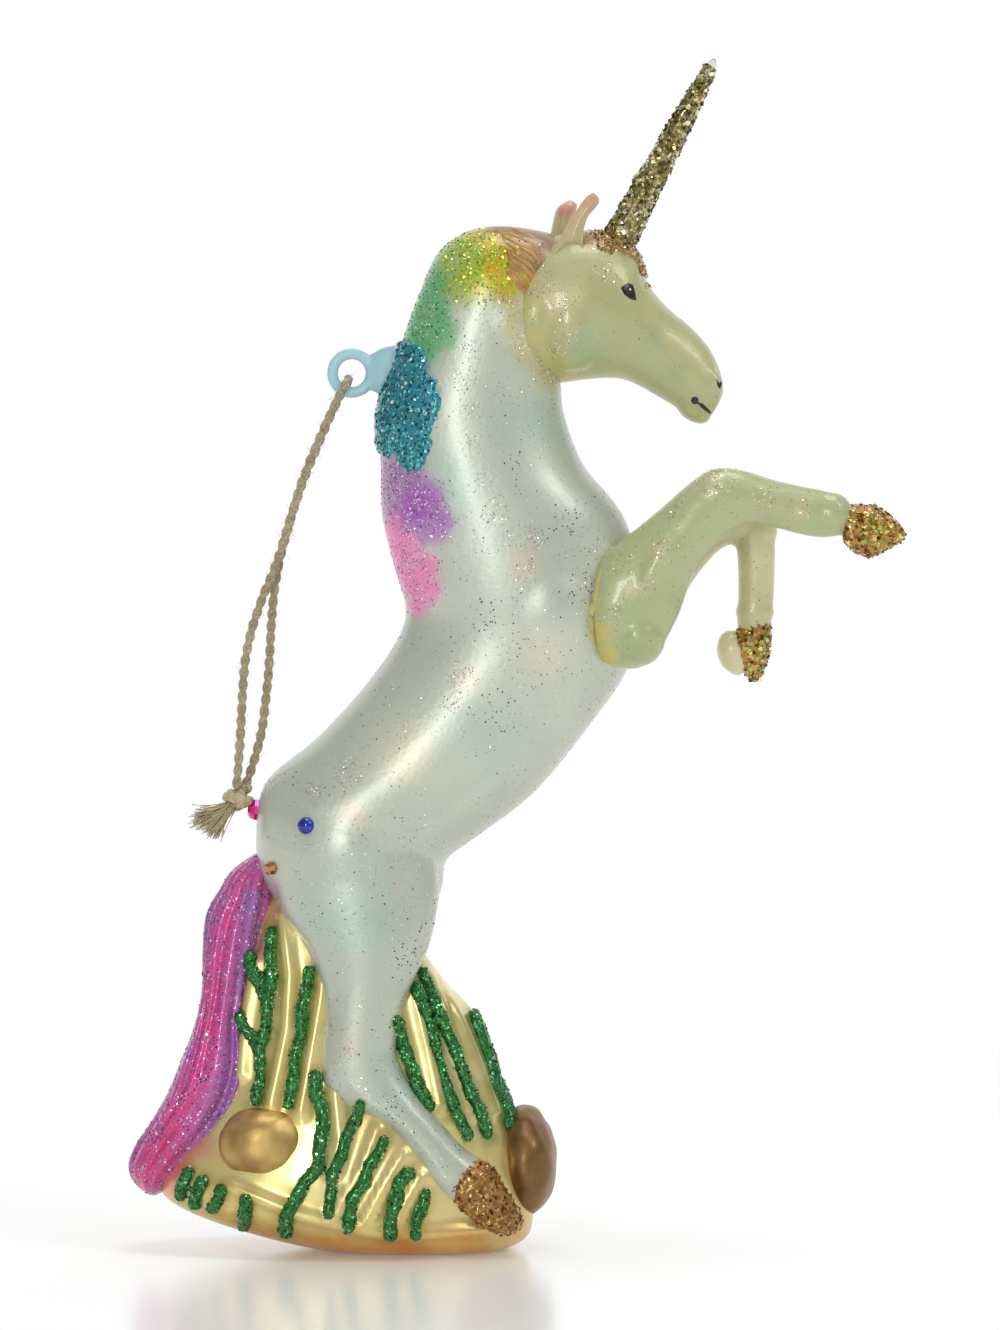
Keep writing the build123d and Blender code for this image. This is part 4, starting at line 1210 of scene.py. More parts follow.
# %% Glitter group
glitter, start, end = group_start("Glitter lacquer", [
    ("Lacquer", COLOUR, WHITE), ("Flake", COLOUR, WHITE), ("Dark flake", COLOUR, BLACK),
    ("Flakes per metre", FLOAT, 2000.0), ("Cover", FLOAT, 0.5),
], [("Colour", COLOUR), ("Roughness", FLOAT), ("Metallic", FLOAT), ("Height", FLOAT)])
cell = node(glitter, "ShaderNodeTexVoronoi", {
    "Vector": object_place(glitter), "Scale": start.outputs["Flakes per metre"]})
chance = node(glitter, "ShaderNodeSeparateColor", {"Color": cell.outputs["Color"]})
chosen = maths(glitter, "LESS_THAN", chance.outputs[0], start.outputs["Cover"])
near = maths(glitter, "LESS_THAN", cell.outputs["Distance"], 0.46)
mask = maths(glitter, "MULTIPLY", chosen, near)
tone = colour_mix(glitter, chance.outputs[1], start.outputs["Dark flake"], start.outputs["Flake"])
rough = node(glitter, "ShaderNodeMapRange", {"Value": mask, "To Min": 0.42, "To Max": 0.22})
glitter.links.new(colour_mix(glitter, mask, start.outputs["Lacquer"], tone), end.inputs["Colour"])
glitter.links.new(rough.outputs["Result"], end.inputs["Roughness"])
glitter.links.new(maths(glitter, "MULTIPLY", mask, 0.85), end.inputs["Metallic"])
glitter.links.new(maths(glitter, "MULTIPLY", mask, chance.outputs[2]), end.inputs["Height"])
print("group", glitter.name)

# %% [markdown]
# ## Blown glass unevenness
# Glass that was blown in a mould is never quite even. The group adds slow dents
# and a share of ripples nine times as fine, as a height for a Bump node.

# %% Blown glass unevenness group
uneven, start, end = group_start("Blown unevenness", [
    ("Scale", FLOAT, 300.0), ("Fine share", FLOAT, 0.2),
], [("Height", FLOAT)])
spot = object_place(uneven)
slow = node(uneven, "ShaderNodeTexNoise", {"Vector": spot, "Scale": start.outputs["Scale"], "Detail": 1.5})
fine_scale = maths(uneven, "MULTIPLY", start.outputs["Scale"], 9.0)
fine = node(uneven, "ShaderNodeTexNoise", {"Vector": spot, "Scale": fine_scale, "Detail": 2.0})
blend = node(uneven, "ShaderNodeMix", {
    0: start.outputs["Fine share"], 2: slow.outputs["Fac"], 3: fine.outputs["Fac"]}, data_type="FLOAT")
uneven.links.new(blend.outputs[0], end.inputs["Height"])
print("group", uneven.name)

# %% [markdown]
# ## Lacquered glass
# Silvered and lacquered glass is a clear coat over colour over a mirror. The
# Principled shader does it with some metallic base, low roughness and a coat.
# Sprayed skins take their colour from the spray attribute.

# %% Lacquered glass finish
def new_finish(name):
    """A fresh material with its node tree and its Principled shader."""
    material = bpy.data.materials.new(name)
    material.use_nodes = True
    return material, material.node_tree, material.node_tree.nodes["Principled BSDF"]


def group_node(tree, group, inputs):
    """Place a shader group and set its inputs."""
    return node(tree, "ShaderNodeGroup", inputs, node_tree=group)


def bump_up(tree, shader, height, strength, distance):
    """Turn a height into relief; the distance is in mm."""
    relief = node(tree, "ShaderNodeBump", {"Height": height, "Strength": strength, "Distance": distance * MM})
    tree.links.new(relief.outputs["Normal"], shader.inputs["Normal"])


SPRAYED = None


def lacquer(name, colour, second, drift_scale, drift_amount=0.5, metallic=0.0, roughness=0.3, coat=0.4,
            coat_roughness=0.08, flakes=None, uneven_scale=220, fine_share=0.1, bump=0.25, through=0.0):
    """Painted glass; SPRAYED stands for the spray attribute's colour.

    Flakes are flake colour, dark colour, flakes per metre and cover.
    """
    material, tree, shader = new_finish(name)
    if colour is SPRAYED:
        paint = node(tree, "ShaderNodeAttribute", attribute_name="spray").outputs["Color"]
    else:
        paint = rgba(colour)
    drifting = group_node(tree, drift, {"Colour": paint, "Second colour": rgba(second),
                                        "Scale": drift_scale, "Amount": drift_amount})
    height = group_node(tree, uneven, {"Scale": uneven_scale, "Fine share": fine_share}).outputs["Height"]
    if flakes:
        flake, dark, density, cover = flakes
        glue = group_node(tree, glitter, {
            "Lacquer": drifting.outputs["Colour"], "Flake": rgba(flake), "Dark flake": rgba(dark),
            "Flakes per metre": density, "Cover": cover})
        tree.links.new(glue.outputs["Colour"], shader.inputs["Base Color"])
        tree.links.new(glue.outputs["Roughness"], shader.inputs["Roughness"])
        metal = maths(tree, "MAXIMUM", glue.outputs["Metallic"], metallic)
        tree.links.new(metal, shader.inputs["Metallic"])
        height = maths(tree, "ADD", height, glue.outputs["Height"])
    else:
        tree.links.new(drifting.outputs["Colour"], shader.inputs["Base Color"])
        shader.inputs["Roughness"].default_value = roughness
        shader.inputs["Metallic"].default_value = metallic
    bump_up(tree, shader, height, bump, 0.3)
    shader.inputs["Coat Weight"].default_value = coat
    shader.inputs["Coat Roughness"].default_value = coat_roughness
    shader.inputs["Subsurface Weight"].default_value = through
    shader.inputs["Subsurface Radius"].default_value = (0.004, 0.004, 0.003)
    shader.inputs["Subsurface Scale"].default_value = 0.5
    return material


def wear(piece, material):
    """Give a piece one material."""
    piece.data.materials.clear()
    piece.data.materials.append(material)


wear(body_skin, lacquer(
    "pearl lacquer", SPRAYED, rgb(216, 218, 200), drift_scale=70, metallic=0.35, roughness=0.40,
    coat=0.6, coat_roughness=0.22, bump=0.6, uneven_scale=170, fine_share=0.25))
wear(base_skin, lacquer(
    "gold lacquer", SPRAYED, rgb(246, 234, 176), drift_scale=120, metallic=0.66, roughness=0.33,
    bump=0.35, uneven_scale=190))
wear(tail_skin, lacquer(
    "tail lacquer", SPRAYED, rgb(190, 90, 170), drift_scale=300, drift_amount=0.3, metallic=0.2,
    flakes=(rgb(232, 170, 226), rgb(96, 50, 120), 2600, 0.30), bump=0.35))
REAR_BROWNS = rgb(224, 190, 118), rgb(140, 100, 60)
FRONT_BROWNS = rgb(150, 114, 68), rgb(98, 68, 42)
for stone, browns in zip(stones, (REAR_BROWNS, REAR_BROWNS, FRONT_BROWNS)):
    wear(stone, lacquer(
        stone.name + " lacquer", *browns, drift_scale=170, drift_amount=0.7, metallic=0.8, roughness=0.42,
        coat=0.15, bump=0.6, uneven_scale=240))
print("lacquers", len(bpy.data.materials))

# %% [markdown]
# ## Frosted glass
# The head, legs and ears are worked glass with a frosted skin. A little light
# gets through them, which the Subsurface of the same shader gives. The ears
# blush towards their tips.

# %% Frosted glass finishes
pale_glass = lacquer(
    "pale green glass", SPRAYED, rgb(190, 190, 146), drift_scale=130, metallic=0.1, roughness=0.36, coat=0.35,
    bump=0.7, uneven_scale=300, fine_share=0.25, through=0.15)
for piece in (head_skin, near_leg, far_leg):
    wear(piece, pale_glass)
ear_glass = lacquer(
    "ear glass", SPRAYED, rgb(214, 190, 160), drift_scale=260, drift_amount=0.6, roughness=0.32, coat=0.5,
    bump=0.4, through=0.2)
EAR_BLUSH = (rgb(206, 132, 112), 0.85, 0.010, [(0.165, 1.050, 0.012), (0.140, 1.044, 0.014)])
for ear in (near_ear, far_ear):
    spray(ear, rgb(196, 188, 142), [EAR_BLUSH])
    wear(ear, ear_glass)
wear(bare_hoof, lacquer(
    "bare cream glass", rgb(226, 216, 178), rgb(204, 190, 140), drift_scale=400, coat=0.6, through=0.3))
print("frosted glass on 6 pieces")

# %% [markdown]
# ## Glitter glue
# The glue beads, hooves and crusts are full of flakes. The shader group fills
# them with cells of light and dark, and real flakes are scattered on top later.

# %% Glitter glue finishes
def glitter_glue(name, colour, second, flake, dark_flake, density=2200, cover=0.8, metallic=0.4,
                 drift_scale=500, coat=0.4, bump=0.9):
    """Coloured glue full of flakes; colours are as read off a screen."""
    return lacquer(name, rgb(*colour), rgb(*second), drift_scale, drift_amount=0.8, metallic=metallic,
                   flakes=(rgb(*flake), rgb(*dark_flake), density, cover), coat=coat, bump=bump)


HOOF_GLUE = {
    "second": (196, 150, 66), "flake": (248, 208, 124), "dark_flake": (92, 54, 18), "drift_scale": 600,
}
HOOF_COLOURS = {
    "fore_hoof_near": (170, 124, 44), "fore_hoof_far": (150, 108, 44),
    "hind_hoof_near": (144, 96, 46), "hind_hoof_far": (144, 96, 46),
}
for key, colour in HOOF_COLOURS.items():
    wear(hooves[key], glitter_glue(key + " glue", colour, **HOOF_GLUE))
wear(horn_crust, glitter_glue(
    "olive glitter glue", (120, 104, 48), (160, 140, 70), (226, 212, 140), (66, 56, 20), density=2300))
grass_finish = glitter_glue(
    "green glitter glue", (22, 96, 34), (34, 128, 50), (70, 190, 84), (8, 50, 18), density=3000, cover=0.7,
    metallic=0.3, drift_scale=700, coat=0.5, bump=0.8)
for beads in grass:
    wear(beads, grass_finish)
wear(forelock, glitter_glue(
    "forelock glitter glue", (136, 106, 54), (164, 138, 78), (240, 206, 140), (92, 58, 26), density=2400,
    metallic=0.3))
wear(mane_crust, glitter_glue(
    "teal glitter glue", (24, 128, 146), (40, 156, 170), (110, 208, 216), (10, 80, 98), density=2100,
    metallic=0.3, coat=0.5))
print("glue on", len(hooves) + len(grass) + 3, "pieces")

# %% [markdown]
# ## Strands and plain glue
# The strands behind the ears are painted copper. The glue round the shoulders
# is clear yellow and holds no glitter.

# %% Strand and glue rim finishes
wear(strands, lacquer(
    "strand lacquer", rgb(164, 118, 62), rgb(196, 154, 90), drift_scale=420, drift_amount=0.9,
    metallic=0.25, roughness=0.36, coat=0.3))
wear(glue, lacquer(
    "yellow glue", rgb(196, 184, 116), rgb(206, 196, 138), drift_scale=400, drift_amount=0.8, coat=0.5,
    through=0.2))
print("strands and glue rims finished")

# %% [markdown]
# ## Clear glass
# The horn's tip and the hanging ring let light through. Glass is a Principled
# shader with transmission, and only its constants are set. The ring is milky,
# so less light goes through it.

# %% Clear and blue glass
def clear_glass(name, colour, roughness, transmission):
    """Glass that light goes through."""
    material, tree, shader = new_finish(name)
    shader.inputs["Base Color"].default_value = rgba(colour)
    shader.inputs["Roughness"].default_value = roughness
    shader.inputs["Transmission Weight"].default_value = transmission
    shader.inputs["IOR"].default_value = 1.48
    height = group_node(tree, uneven, {"Scale": 700.0, "Fine share": 0.1}).outputs["Height"]
    bump_up(tree, shader, height, 0.15, 0.2)
    return material


wear(horn_glass, clear_glass("clear glass", rgb(226, 234, 218), roughness=0.06, transmission=0.9))
wear(ring_skin, clear_glass("sky blue glass", rgb(186, 228, 238), roughness=0.30, transmission=0.35))
print("glass done")

# %% [markdown]
# ## Loose flakes
# Glitter only sparkles because each flake lies at its own angle. We scatter real
# six-sided flakes over the skins, tip each one at random, and give each its own
# shade, so some flash and some stay dark from any side.

# %% Scatter flakes on skins
FLAKE_SIDES = 6
NO_AREA = 1e-18
foil, foil_tree, foil_shader = new_finish("glitter foil")
foil_colour = node(foil_tree, "ShaderNodeAttribute", attribute_name="foil")
foil_tree.links.new(foil_colour.outputs["Color"], foil_shader.inputs["Base Color"])
foil_shader.inputs["Metallic"].default_value = 0.45
foil_shader.inputs["Roughness"].default_value = 0.16


def new_flakes(name, verts, faces):
    """A mesh of loose faces that rides on the figure."""
    mesh = bpy.data.meshes.new(name)
    mesh.from_pydata(verts.tolist(), [], faces)
    mesh.update()
    piece = in_scene(name, mesh)
    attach(piece, "figure")
    return piece


def flake_places(piece, count, keep, rng):
    """Random places on a piece's skin and the directions that it faces there."""
    mesh = piece.data
    mesh.calc_loop_triangles()
    tris = np.array([t.vertices[:] for t in mesh.loop_triangles])
    verts = vertices_of(piece)
    a, b, c = verts[tris[:, 0]], verts[tris[:, 1]], verts[tris[:, 2]]
    cross = np.cross(b - a, c - a)
    area = np.linalg.norm(cross, axis=1) / 2
    facing = cross / (2 * area + NO_AREA)[:, None]
    weight = area if keep is None else area * keep((a + b + c) / 3, facing)
    pick = rng.choice(len(tris), size=count, p=weight / weight.sum())
    u, v = rng.random(len(pick)), rng.random(len(pick))
    fold = u + v > 1
    u[fold], v[fold] = 1 - u[fold], 1 - v[fold]
    return a[pick] + u[:, None] * (b - a)[pick] + v[:, None] * (c - a)[pick], facing[pick]


def scatter(name, pieces, count, size, colours, seed, keep=None, tip=0.7, lift=0.10):
    """Flakes on the skins; keep says how likely a place is to hold one."""
    rng = np.random.default_rng(seed)
    found = [flake_places(piece, int(count / len(pieces)), keep, rng) for piece in pieces]
    places, normals = (np.concatenate(arrays) for arrays in zip(*found))
    total = len(places)
    tilt = normals + rng.normal(0, tip / 2, (total, 3))
    tilt /= np.linalg.norm(tilt, axis=1)[:, None]
    helper = np.where(np.abs(tilt[:, 2:3]) < 0.9, [[0, 0, 1.0]], [[1.0, 0, 0]])
    along = np.cross(tilt, helper)
    along /= np.linalg.norm(along, axis=1)[:, None]
    aside = np.cross(tilt, along)
    radius = (rng.uniform(size[0], size[1], total) * MM / 2)[:, None]
    middle = places + normals * (lift * MM * rng.uniform(0.4, 1.2, total))[:, None]
    turn = rng.random(total) * 2 * math.pi
    corners = np.empty((total, FLAKE_SIDES, 3))
    for k in range(FLAKE_SIDES):
        angle = (turn + k * 2 * math.pi / FLAKE_SIDES)[:, None]
        corners[:, k] = middle + radius * (np.cos(angle) * along + np.sin(angle) * aside)
    faces = [tuple(range(i * FLAKE_SIDES, (i + 1) * FLAKE_SIDES)) for i in range(total)]
    piece = new_flakes(name, corners.reshape(-1, 3), faces)
    table = np.array([rgba(rgb(*colour)) for colour in colours])
    shade = rng.random(total)[:, None] ** 1.5
    picked = table[rng.integers(0, len(table), total)] * (0.40 + 0.8 * shade)
    picked[:, 3] = 1
    layer = piece.data.color_attributes.new("foil", "FLOAT_COLOR", "CORNER")
    layer.data.foreach_set("color", np.repeat(picked, FLAKE_SIDES, axis=0).ravel())
    wear(piece, foil)
    print(name, total, "flakes")


fore_hooves = [hooves["fore_hoof_near"], hooves["fore_hoof_far"]]
hind_hooves = [hooves["hind_hoof_near"], hooves["hind_hoof_far"]]
scatter("flakes_horn", [horn_crust], 1500, (0.35, 0.85),
        [(232, 220, 160), (170, 150, 76), (96, 84, 34), (255, 250, 226)], seed=1)
scatter("flakes_fore_hooves", fore_hooves, 1000, (0.35, 0.8),
        [(255, 226, 140), (220, 160, 60), (140, 84, 26), (190, 220, 110)], seed=2)
scatter("flakes_hind_hooves", hind_hooves, 1300, (0.35, 0.8),
        [(240, 190, 120), (190, 120, 52), (124, 62, 28), (214, 150, 100)], seed=3)
scatter("flakes_grass", grass, 9000, (0.22, 0.48),
        [(60, 190, 80), (20, 110, 40), (10, 70, 26), (120, 230, 130), (205, 250, 205)], seed=4, lift=0.05)
scatter("flakes_forelock_crust", [forelock], 520, (0.25, 0.55),
        [(255, 232, 170), (206, 150, 84), (120, 76, 36)], seed=6)
scatter("flakes_mane_crust", [mane_crust], 2400, (0.28, 0.62),
        [(40, 150, 170), (12, 100, 120), (120, 220, 224), (236, 255, 250)], seed=5)

# %% [markdown]
# ## Where glitter settles
# Dusted glitter isn't even. A chance for each place says where it settles: near
# chosen places, thick along the tail's rear edge, or all over in loose drifts.

# %% Chances for a flake
def near_places(places, sharpness=1.0):
    """A chance that is high near places of shares with a radius."""
    def keep(spots, facing):
        chance = np.zeros(len(spots))
        for share_x, share_z, radius in places:
            reach = np.hypot(spots[:, 0] / HEIGHT - share_x, spots[:, 2] / HEIGHT - share_z) / radius
            chance = np.maximum(chance, np.clip(sharpness * (1.3 - reach), 0, 1))
        return chance
    return keep


def tail_edge(spots, facing):
    """Thick along the tail's rear edge, thinner elsewhere."""
    return np.clip(0.25 + 0.9 * np.clip(-facing[:, 0] - 0.2, 0, 1), 0, 1)


def all_over(spots, facing):
    """Even, but in loose drifts."""
    drifts = np.array([noise.noise(Vector(s) / (9 * MM)) for s in spots])
    return np.clip(0.35 + 0.8 * drifts, 0.03, 1)


print("chances ready")

# %% [markdown]
# ## Dusted glitter
# Over the lacquer the maker blows fine glitter: thick on the mane's bands and
# the tail, along the near leg's rim, and as silver and dark specks all over the
# body. Pale peach flakes heaped where highlights fall on the neck, flank, haunch
# and shin are painted highlight.

# %% Dusted glitter on body, mane and tail
# Places where highlights fall on the body; the pale flakes heaped here are painted highlight.
PAINTED_HIGHLIGHT_PLACES = [
    (0.042, 0.900, 0.012), (0.040, 0.870, 0.012), (0.042, 0.840, 0.010), (0.046, 0.805, 0.010),
    (0.056, 0.770, 0.010), (0.068, 0.738, 0.012), (0.104, 0.714, 0.014), (0.098, 0.680, 0.014),
    (0.034, 0.575, 0.016), (0.030, 0.550, 0.012), (-0.076, 0.480, 0.014), (-0.110, 0.462, 0.012),
    (-0.076, 0.208, 0.010), (0.086, 0.940, 0.012), (0.094, 0.905, 0.012), (0.120, 0.880, 0.014),
]
PURPLE_BAND = [(-0.026, 0.775, 0.026), (-0.008, 0.745, 0.032), (0.008, 0.730, 0.018)]
PINK_BAND = [(-0.015, 0.690, 0.028), (-0.002, 0.660, 0.020)]
GREEN_BAND = [(0.004, 0.955, 0.026), (0.002, 0.925, 0.026)]
LIME_BAND = [(0.040, 0.998, 0.028), (0.062, 0.978, 0.034), (0.085, 0.975, 0.022)]
LEG_RIM = [
    (-0.022, 0.250, 0.007), (-0.028, 0.230, 0.007), (-0.030, 0.210, 0.007), (-0.022, 0.185, 0.007),
    (-0.010, 0.165, 0.007), (0.006, 0.146, 0.007), (0.022, 0.128, 0.007), (0.036, 0.110, 0.007),
]
DARK_DRIFTS = [
    (0.092, 0.786, 0.012), (0.139, 0.727, 0.020), (0.156, 0.669, 0.022), (0.066, 0.640, 0.022),
    (0.095, 0.608, 0.016), (0.030, 0.330, 0.030), (-0.010, 0.300, 0.026), (0.070, 0.540, 0.024),
    (-0.030, 0.150, 0.018),
]
for name, count, size, colours, seed, keep in (
    ("flakes_mane_violet", 1500, (0.16, 0.36), [(236, 180, 244), (255, 246, 255), (196, 120, 214)], 11,
     near_places(PURPLE_BAND)),
    ("flakes_mane_pink", 900, (0.14, 0.32), [(255, 196, 232), (255, 244, 252), (255, 130, 206)], 24,
     near_places(PINK_BAND)),
    ("flakes_mane_green", 900, (0.16, 0.36), [(120, 224, 150), (226, 255, 226), (60, 160, 96)], 12,
     near_places(GREEN_BAND)),
    ("flakes_mane_lime", 1500, (0.20, 0.44), [(196, 240, 30), (252, 255, 90), (214, 226, 30), (130, 236, 60)],
     13, near_places(LIME_BAND)),
    ("flakes_body_silver", 6500, (0.10, 0.24), [(250, 255, 250), (200, 210, 204), (255, 244, 226)], 14,
     all_over),
    ("flakes_body_dark", 700, (0.12, 0.27), [(30, 34, 36), (84, 90, 88), (60, 50, 42)], 15, all_over),
    ("flakes_dark_drifts", 700, (0.12, 0.30), [(26, 30, 34), (60, 66, 66)], 22,
     near_places(DARK_DRIFTS, 0.6)),
    ("flakes_leg_rim", 420, (0.16, 0.36), [(214, 220, 90), (250, 250, 170), (140, 170, 60)], 23,
     near_places(LEG_RIM)),
    ("flakes_body_painted_highlight", 2600, (0.10, 0.26), [(255, 236, 220), (255, 250, 240), (255, 214, 196)], 20,
     near_places(PAINTED_HIGHLIGHT_PLACES)),
):
    scatter(name, [body_skin], count, size, colours, seed, keep, tip=0.5, lift=0.04)
scatter("flakes_tail", [tail_skin], 3000, (0.16, 0.40),
        [(240, 200, 240), (200, 120, 210), (255, 250, 255)], seed=16, tip=0.5, lift=0.04)
scatter("flakes_tail_edge", [tail_skin], 1500, (0.18, 0.40),
        [(60, 170, 200), (30, 90, 130), (190, 240, 250)], seed=17, keep=tail_edge, tip=0.5, lift=0.04)

# %% [markdown]
# ## Glitter on the head and forelegs
# A few grains of copper glitter have fallen round the forelock. The frosted
# glass carries a faint dust, and pale peach flakes heaped where highlights fall,
# in the middle of the cheek and along the upper arms, are painted highlight.

# %% Dusted glitter on the head and forelegs
FOREHEAD = [(0.178, 1.014, 0.016), (0.198, 1.004, 0.010), (0.216, 0.978, 0.005), (0.222, 0.964, 0.004)]
# Places where highlights fall on the head and forelegs; the pale flakes heaped here are painted highlight.
PAINTED_FROSTED_HIGHLIGHTS = [
    (0.098, 0.950, 0.018), (0.118, 0.965, 0.016), (0.136, 0.945, 0.014), (0.142, 0.912, 0.012),
    (0.128, 0.900, 0.010), (0.180, 0.975, 0.012), (0.236, 0.704, 0.014), (0.286, 0.768, 0.016),
    (0.222, 0.668, 0.010), (0.200, 0.690, 0.012), (0.188, 0.640, 0.010), (0.336, 0.752, 0.010),
    (0.376, 0.742, 0.010), (0.250, 0.740, 0.010),
]
frosted = [head_skin, near_leg, far_leg]
scatter("flakes_forelock", [head_skin], 420, (0.22, 0.50),
        [(240, 200, 120), (190, 130, 60), (255, 240, 200)], seed=18, keep=near_places(FOREHEAD), tip=0.8)
scatter("flakes_head", frosted, 1500, (0.08, 0.20),
        [(250, 250, 220), (90, 86, 62)], seed=19, tip=0.5, lift=0.03)
scatter("flakes_frosted_painted_highlight", frosted, 3000, (0.10, 0.26),
        [(255, 232, 204), (255, 246, 224), (250, 206, 176)], seed=21, keep=near_places(PAINTED_FROSTED_HIGHLIGHTS), tip=0.5,
        lift=0.03)

# %% [markdown]
# ## Gems
# Flat-backed stones are glued to the rump and both flanks. A cut stone is a
# girdle, a ring of facets and a table, shaded flat so every facet shows.

# %% Gems
CUT = [(0.96, -0.45), (1.0, 0.25), (0.80, 0.72), (0.50, 1.0)]
DOME = [
    (1.0, -0.4), (1.0, 0.10), (0.95, 0.35), (0.85, 0.58), (0.70, 0.76), (0.50, 0.90), (0.26, 0.98),
    (0.05, 1.0),
]


def gem(node_name, slot, place, normal, size, sides, rings, colour):
    """A cut or domed stone; rings are pairs of size share and height share."""
    length, width, height = size
    up = normal.normalized()
    along = up.cross(Vector((1, 0, 0)) if abs(up.x) < 0.8 else Vector((0, 1, 0))).normalized()
    aside = up.cross(along)
    verts = []
    for size_share, height_share in rings:
        for k in range(sides):
            angle = 2 * math.pi * (k + 0.5) / sides
            verts.append(place + (along * math.cos(angle) * length / 2 * size_share
                                  + aside * math.sin(angle) * width / 2 * size_share
                                  + up * height * height_share) * MM)
    piece = new_piece(node_name + "_stone", verts, ring_faces(len(rings), sides))
    piece.data.polygons.foreach_set("use_smooth", [rings is DOME] * len(piece.data.polygons))
    dark = tuple(0.45 * part for part in colour)
    wear(piece, lacquer(
        piece.name + " foil", colour, dark, drift_scale=900, drift_amount=0.7, metallic=0.75, roughness=0.08,
        coat=1.0, bump=0.03))
    stands_for(node_name)


for suffix, side in (("near", -1), ("far", 1)):
    gem("gem_blue_" + suffix, "blue_gem", *on_skin(body_tree, -0.117, 0.429, side),
        (2.5, 2.5, 1.15), 24, DOME, rgb(30, 60, 190))
    gem("gem_amber_" + suffix, "amber_gem", *on_skin(body_tree, -0.152, 0.385, side),
        (2.0, 2.9, 1.0), 8, CUT, rgb(206, 132, 50))
place, normal, _, _ = body_tree.ray_cast(Vector((-0.1, 0, 0.440 * HEIGHT)), Vector((1, 0, 0)))
backwards = -normal if normal.x > 0 else normal
gem("gem_pink", "pink_gem", place, backwards, (3.2, 3.2, 1.35), 8, CUT, rgb(238, 34, 160))
print("gems", 5)

# %% [markdown]
# ## Painted face
# The eye, the nostril and the mouth are strokes of black enamel. Each is a thin
# patch laid on the skin: we draw its outline in the side view, fill it with a
# small grid and drop every point onto the head from the side. A small pale dot on
# each eye is a painted highlight, laid the same way.

# %% Enamel strokes
enamel, enamel_tree, enamel_shader = new_finish("black enamel")
enamel_colour = group_node(enamel_tree, drift, {
    "Colour": rgba(rgb(18, 18, 22)), "Second colour": rgba(rgb(52, 54, 66)), "Scale": 1500.0, "Amount": 0.8})
enamel_tree.links.new(enamel_colour.outputs["Colour"], enamel_shader.inputs["Base Color"])
enamel_shader.inputs["Roughness"].default_value = 0.25
ENAMEL_RINGS = 4


def enamel_patch(name, outline, side, lift=0.06):
    """Lay a thin patch of enamel, cut to an outline of shares, on the head."""
    middle = [sum(values) / len(outline) for values in zip(*outline)]
    loop = []
    for (x1, z1), (x2, z2) in zip(outline, outline[1:] + outline[:1]):
        for k in range(4):
            loop.append((x1 + (x2 - x1) * k / 4, z1 + (z2 - z1) * k / 4))
    verts = []
    for i in range(ENAMEL_RINGS + 1):
        t = i / ENAMEL_RINGS
        height = lift if i < ENAMEL_RINGS else -0.3 * lift
        for x, z in loop:
            share_x = middle[0] + (x - middle[0]) * t
            share_z = middle[1] + (z - middle[1]) * t
            place, normal = on_skin(head_tree, share_x, share_z, side)
            verts.append(place + normal * height * MM)
    piece = new_piece(name, verts, ring_faces(ENAMEL_RINGS + 1, len(loop), ends="open"))
    wear(piece, enamel)
    return piece


def stroke(points, width):
    """An outline round a short painted line."""
    left, right = [], []
    for i, (x, z) in enumerate(points):
        a = points[max(i - 1, 0)]
        b = points[min(i + 1, len(points) - 1)]
        length = math.hypot(b[0] - a[0], b[1] - a[1])
        across = (-(b[1] - a[1]) / length, (b[0] - a[0]) / length)
        half = width / 2 * (0.55 if i in (0, len(points) - 1) else 1.0)
        left.append((x + across[0] * half, z + across[1] * half))
        right.append((x - across[0] * half, z - across[1] * half))
    return left + right[::-1]


def dot(share_x, share_z, radius, end, count):
    """The outline of a small round dot, from angle 0 to its end."""
    return [(share_x + radius * math.cos(a), share_z + radius * math.sin(a))
            for a in np.linspace(0, end, count)]


EYE = [
    (0.1938, 0.9610), (0.1975, 0.9640), (0.2018, 0.9662), (0.2070, 0.9640), (0.2092, 0.9560),
    (0.2104, 0.9478), (0.2060, 0.9482), (0.2016, 0.9503), (0.1968, 0.9546),
]
NOSTRIL = [
    (0.2895, 0.8700), (0.2925, 0.8660), (0.2955, 0.8690), (0.2960, 0.8640), (0.2930, 0.8600),
    (0.2905, 0.8640),
]
MOUTH = stroke([(0.2700, 0.8475), (0.2745, 0.8450), (0.2800, 0.8400), (0.2870, 0.8345)], 0.0040)
MOUTH_CORNER = dot(0.2685, 0.8490, 0.0042, 5.6, 9)
# A pale dot on each eye: painted highlight.
GLINT = dot(0.2035, 0.9590, 0.0013, 5.4, 7)
STROKES = {"eye": EYE, "nostril": NOSTRIL, "mouth": MOUTH, "mouth_corner": MOUTH_CORNER}
for suffix, side in (("near", -1), ("far", 1)):
    for name, outline in STROKES.items():
        enamel_patch(name + "_" + suffix, outline, side)
    glint = enamel_patch("eye_glint_" + suffix, GLINT, side, lift=0.12)
    wear(glint, lacquer("painted eye highlight " + suffix, rgb(236, 236, 228), rgb(200, 204, 200), drift_scale=1500))
print("face painted on both sides")

# %% [markdown]
# ## Jute string
# The string is two plies twisted together. Each ply is a tube that winds round
# the route's smooth line. Loose fibres stick out of it all along.

# %% Two plies of jute
def route_frames(route):
    """Positions, directions and two steady side directions along a route."""
    spots = np.array([tuple(p) for p in route])
    lengths = np.concatenate([[0], np.cumsum(np.linalg.norm(np.diff(spots, axis=0), axis=1))])
    count = int(lengths[-1] / (0.20 * MM))
    even = np.linspace(0, lengths[-1], count)
    spots = np.stack([np.interp(even, lengths, spots[:, k]) for k in range(3)], axis=1)
    heading = np.gradient(spots, axis=0)
    heading /= np.linalg.norm(heading, axis=1)[:, None]
    side = np.array([0.0, 1.0, 0.0])
    sides = []
    for direction in heading:
        side = side - direction * (side @ direction)
        side = side / np.linalg.norm(side)
        sides.append(side)
    sides = np.array(sides)
    return even, spots, heading, sides, np.cross(heading, sides)


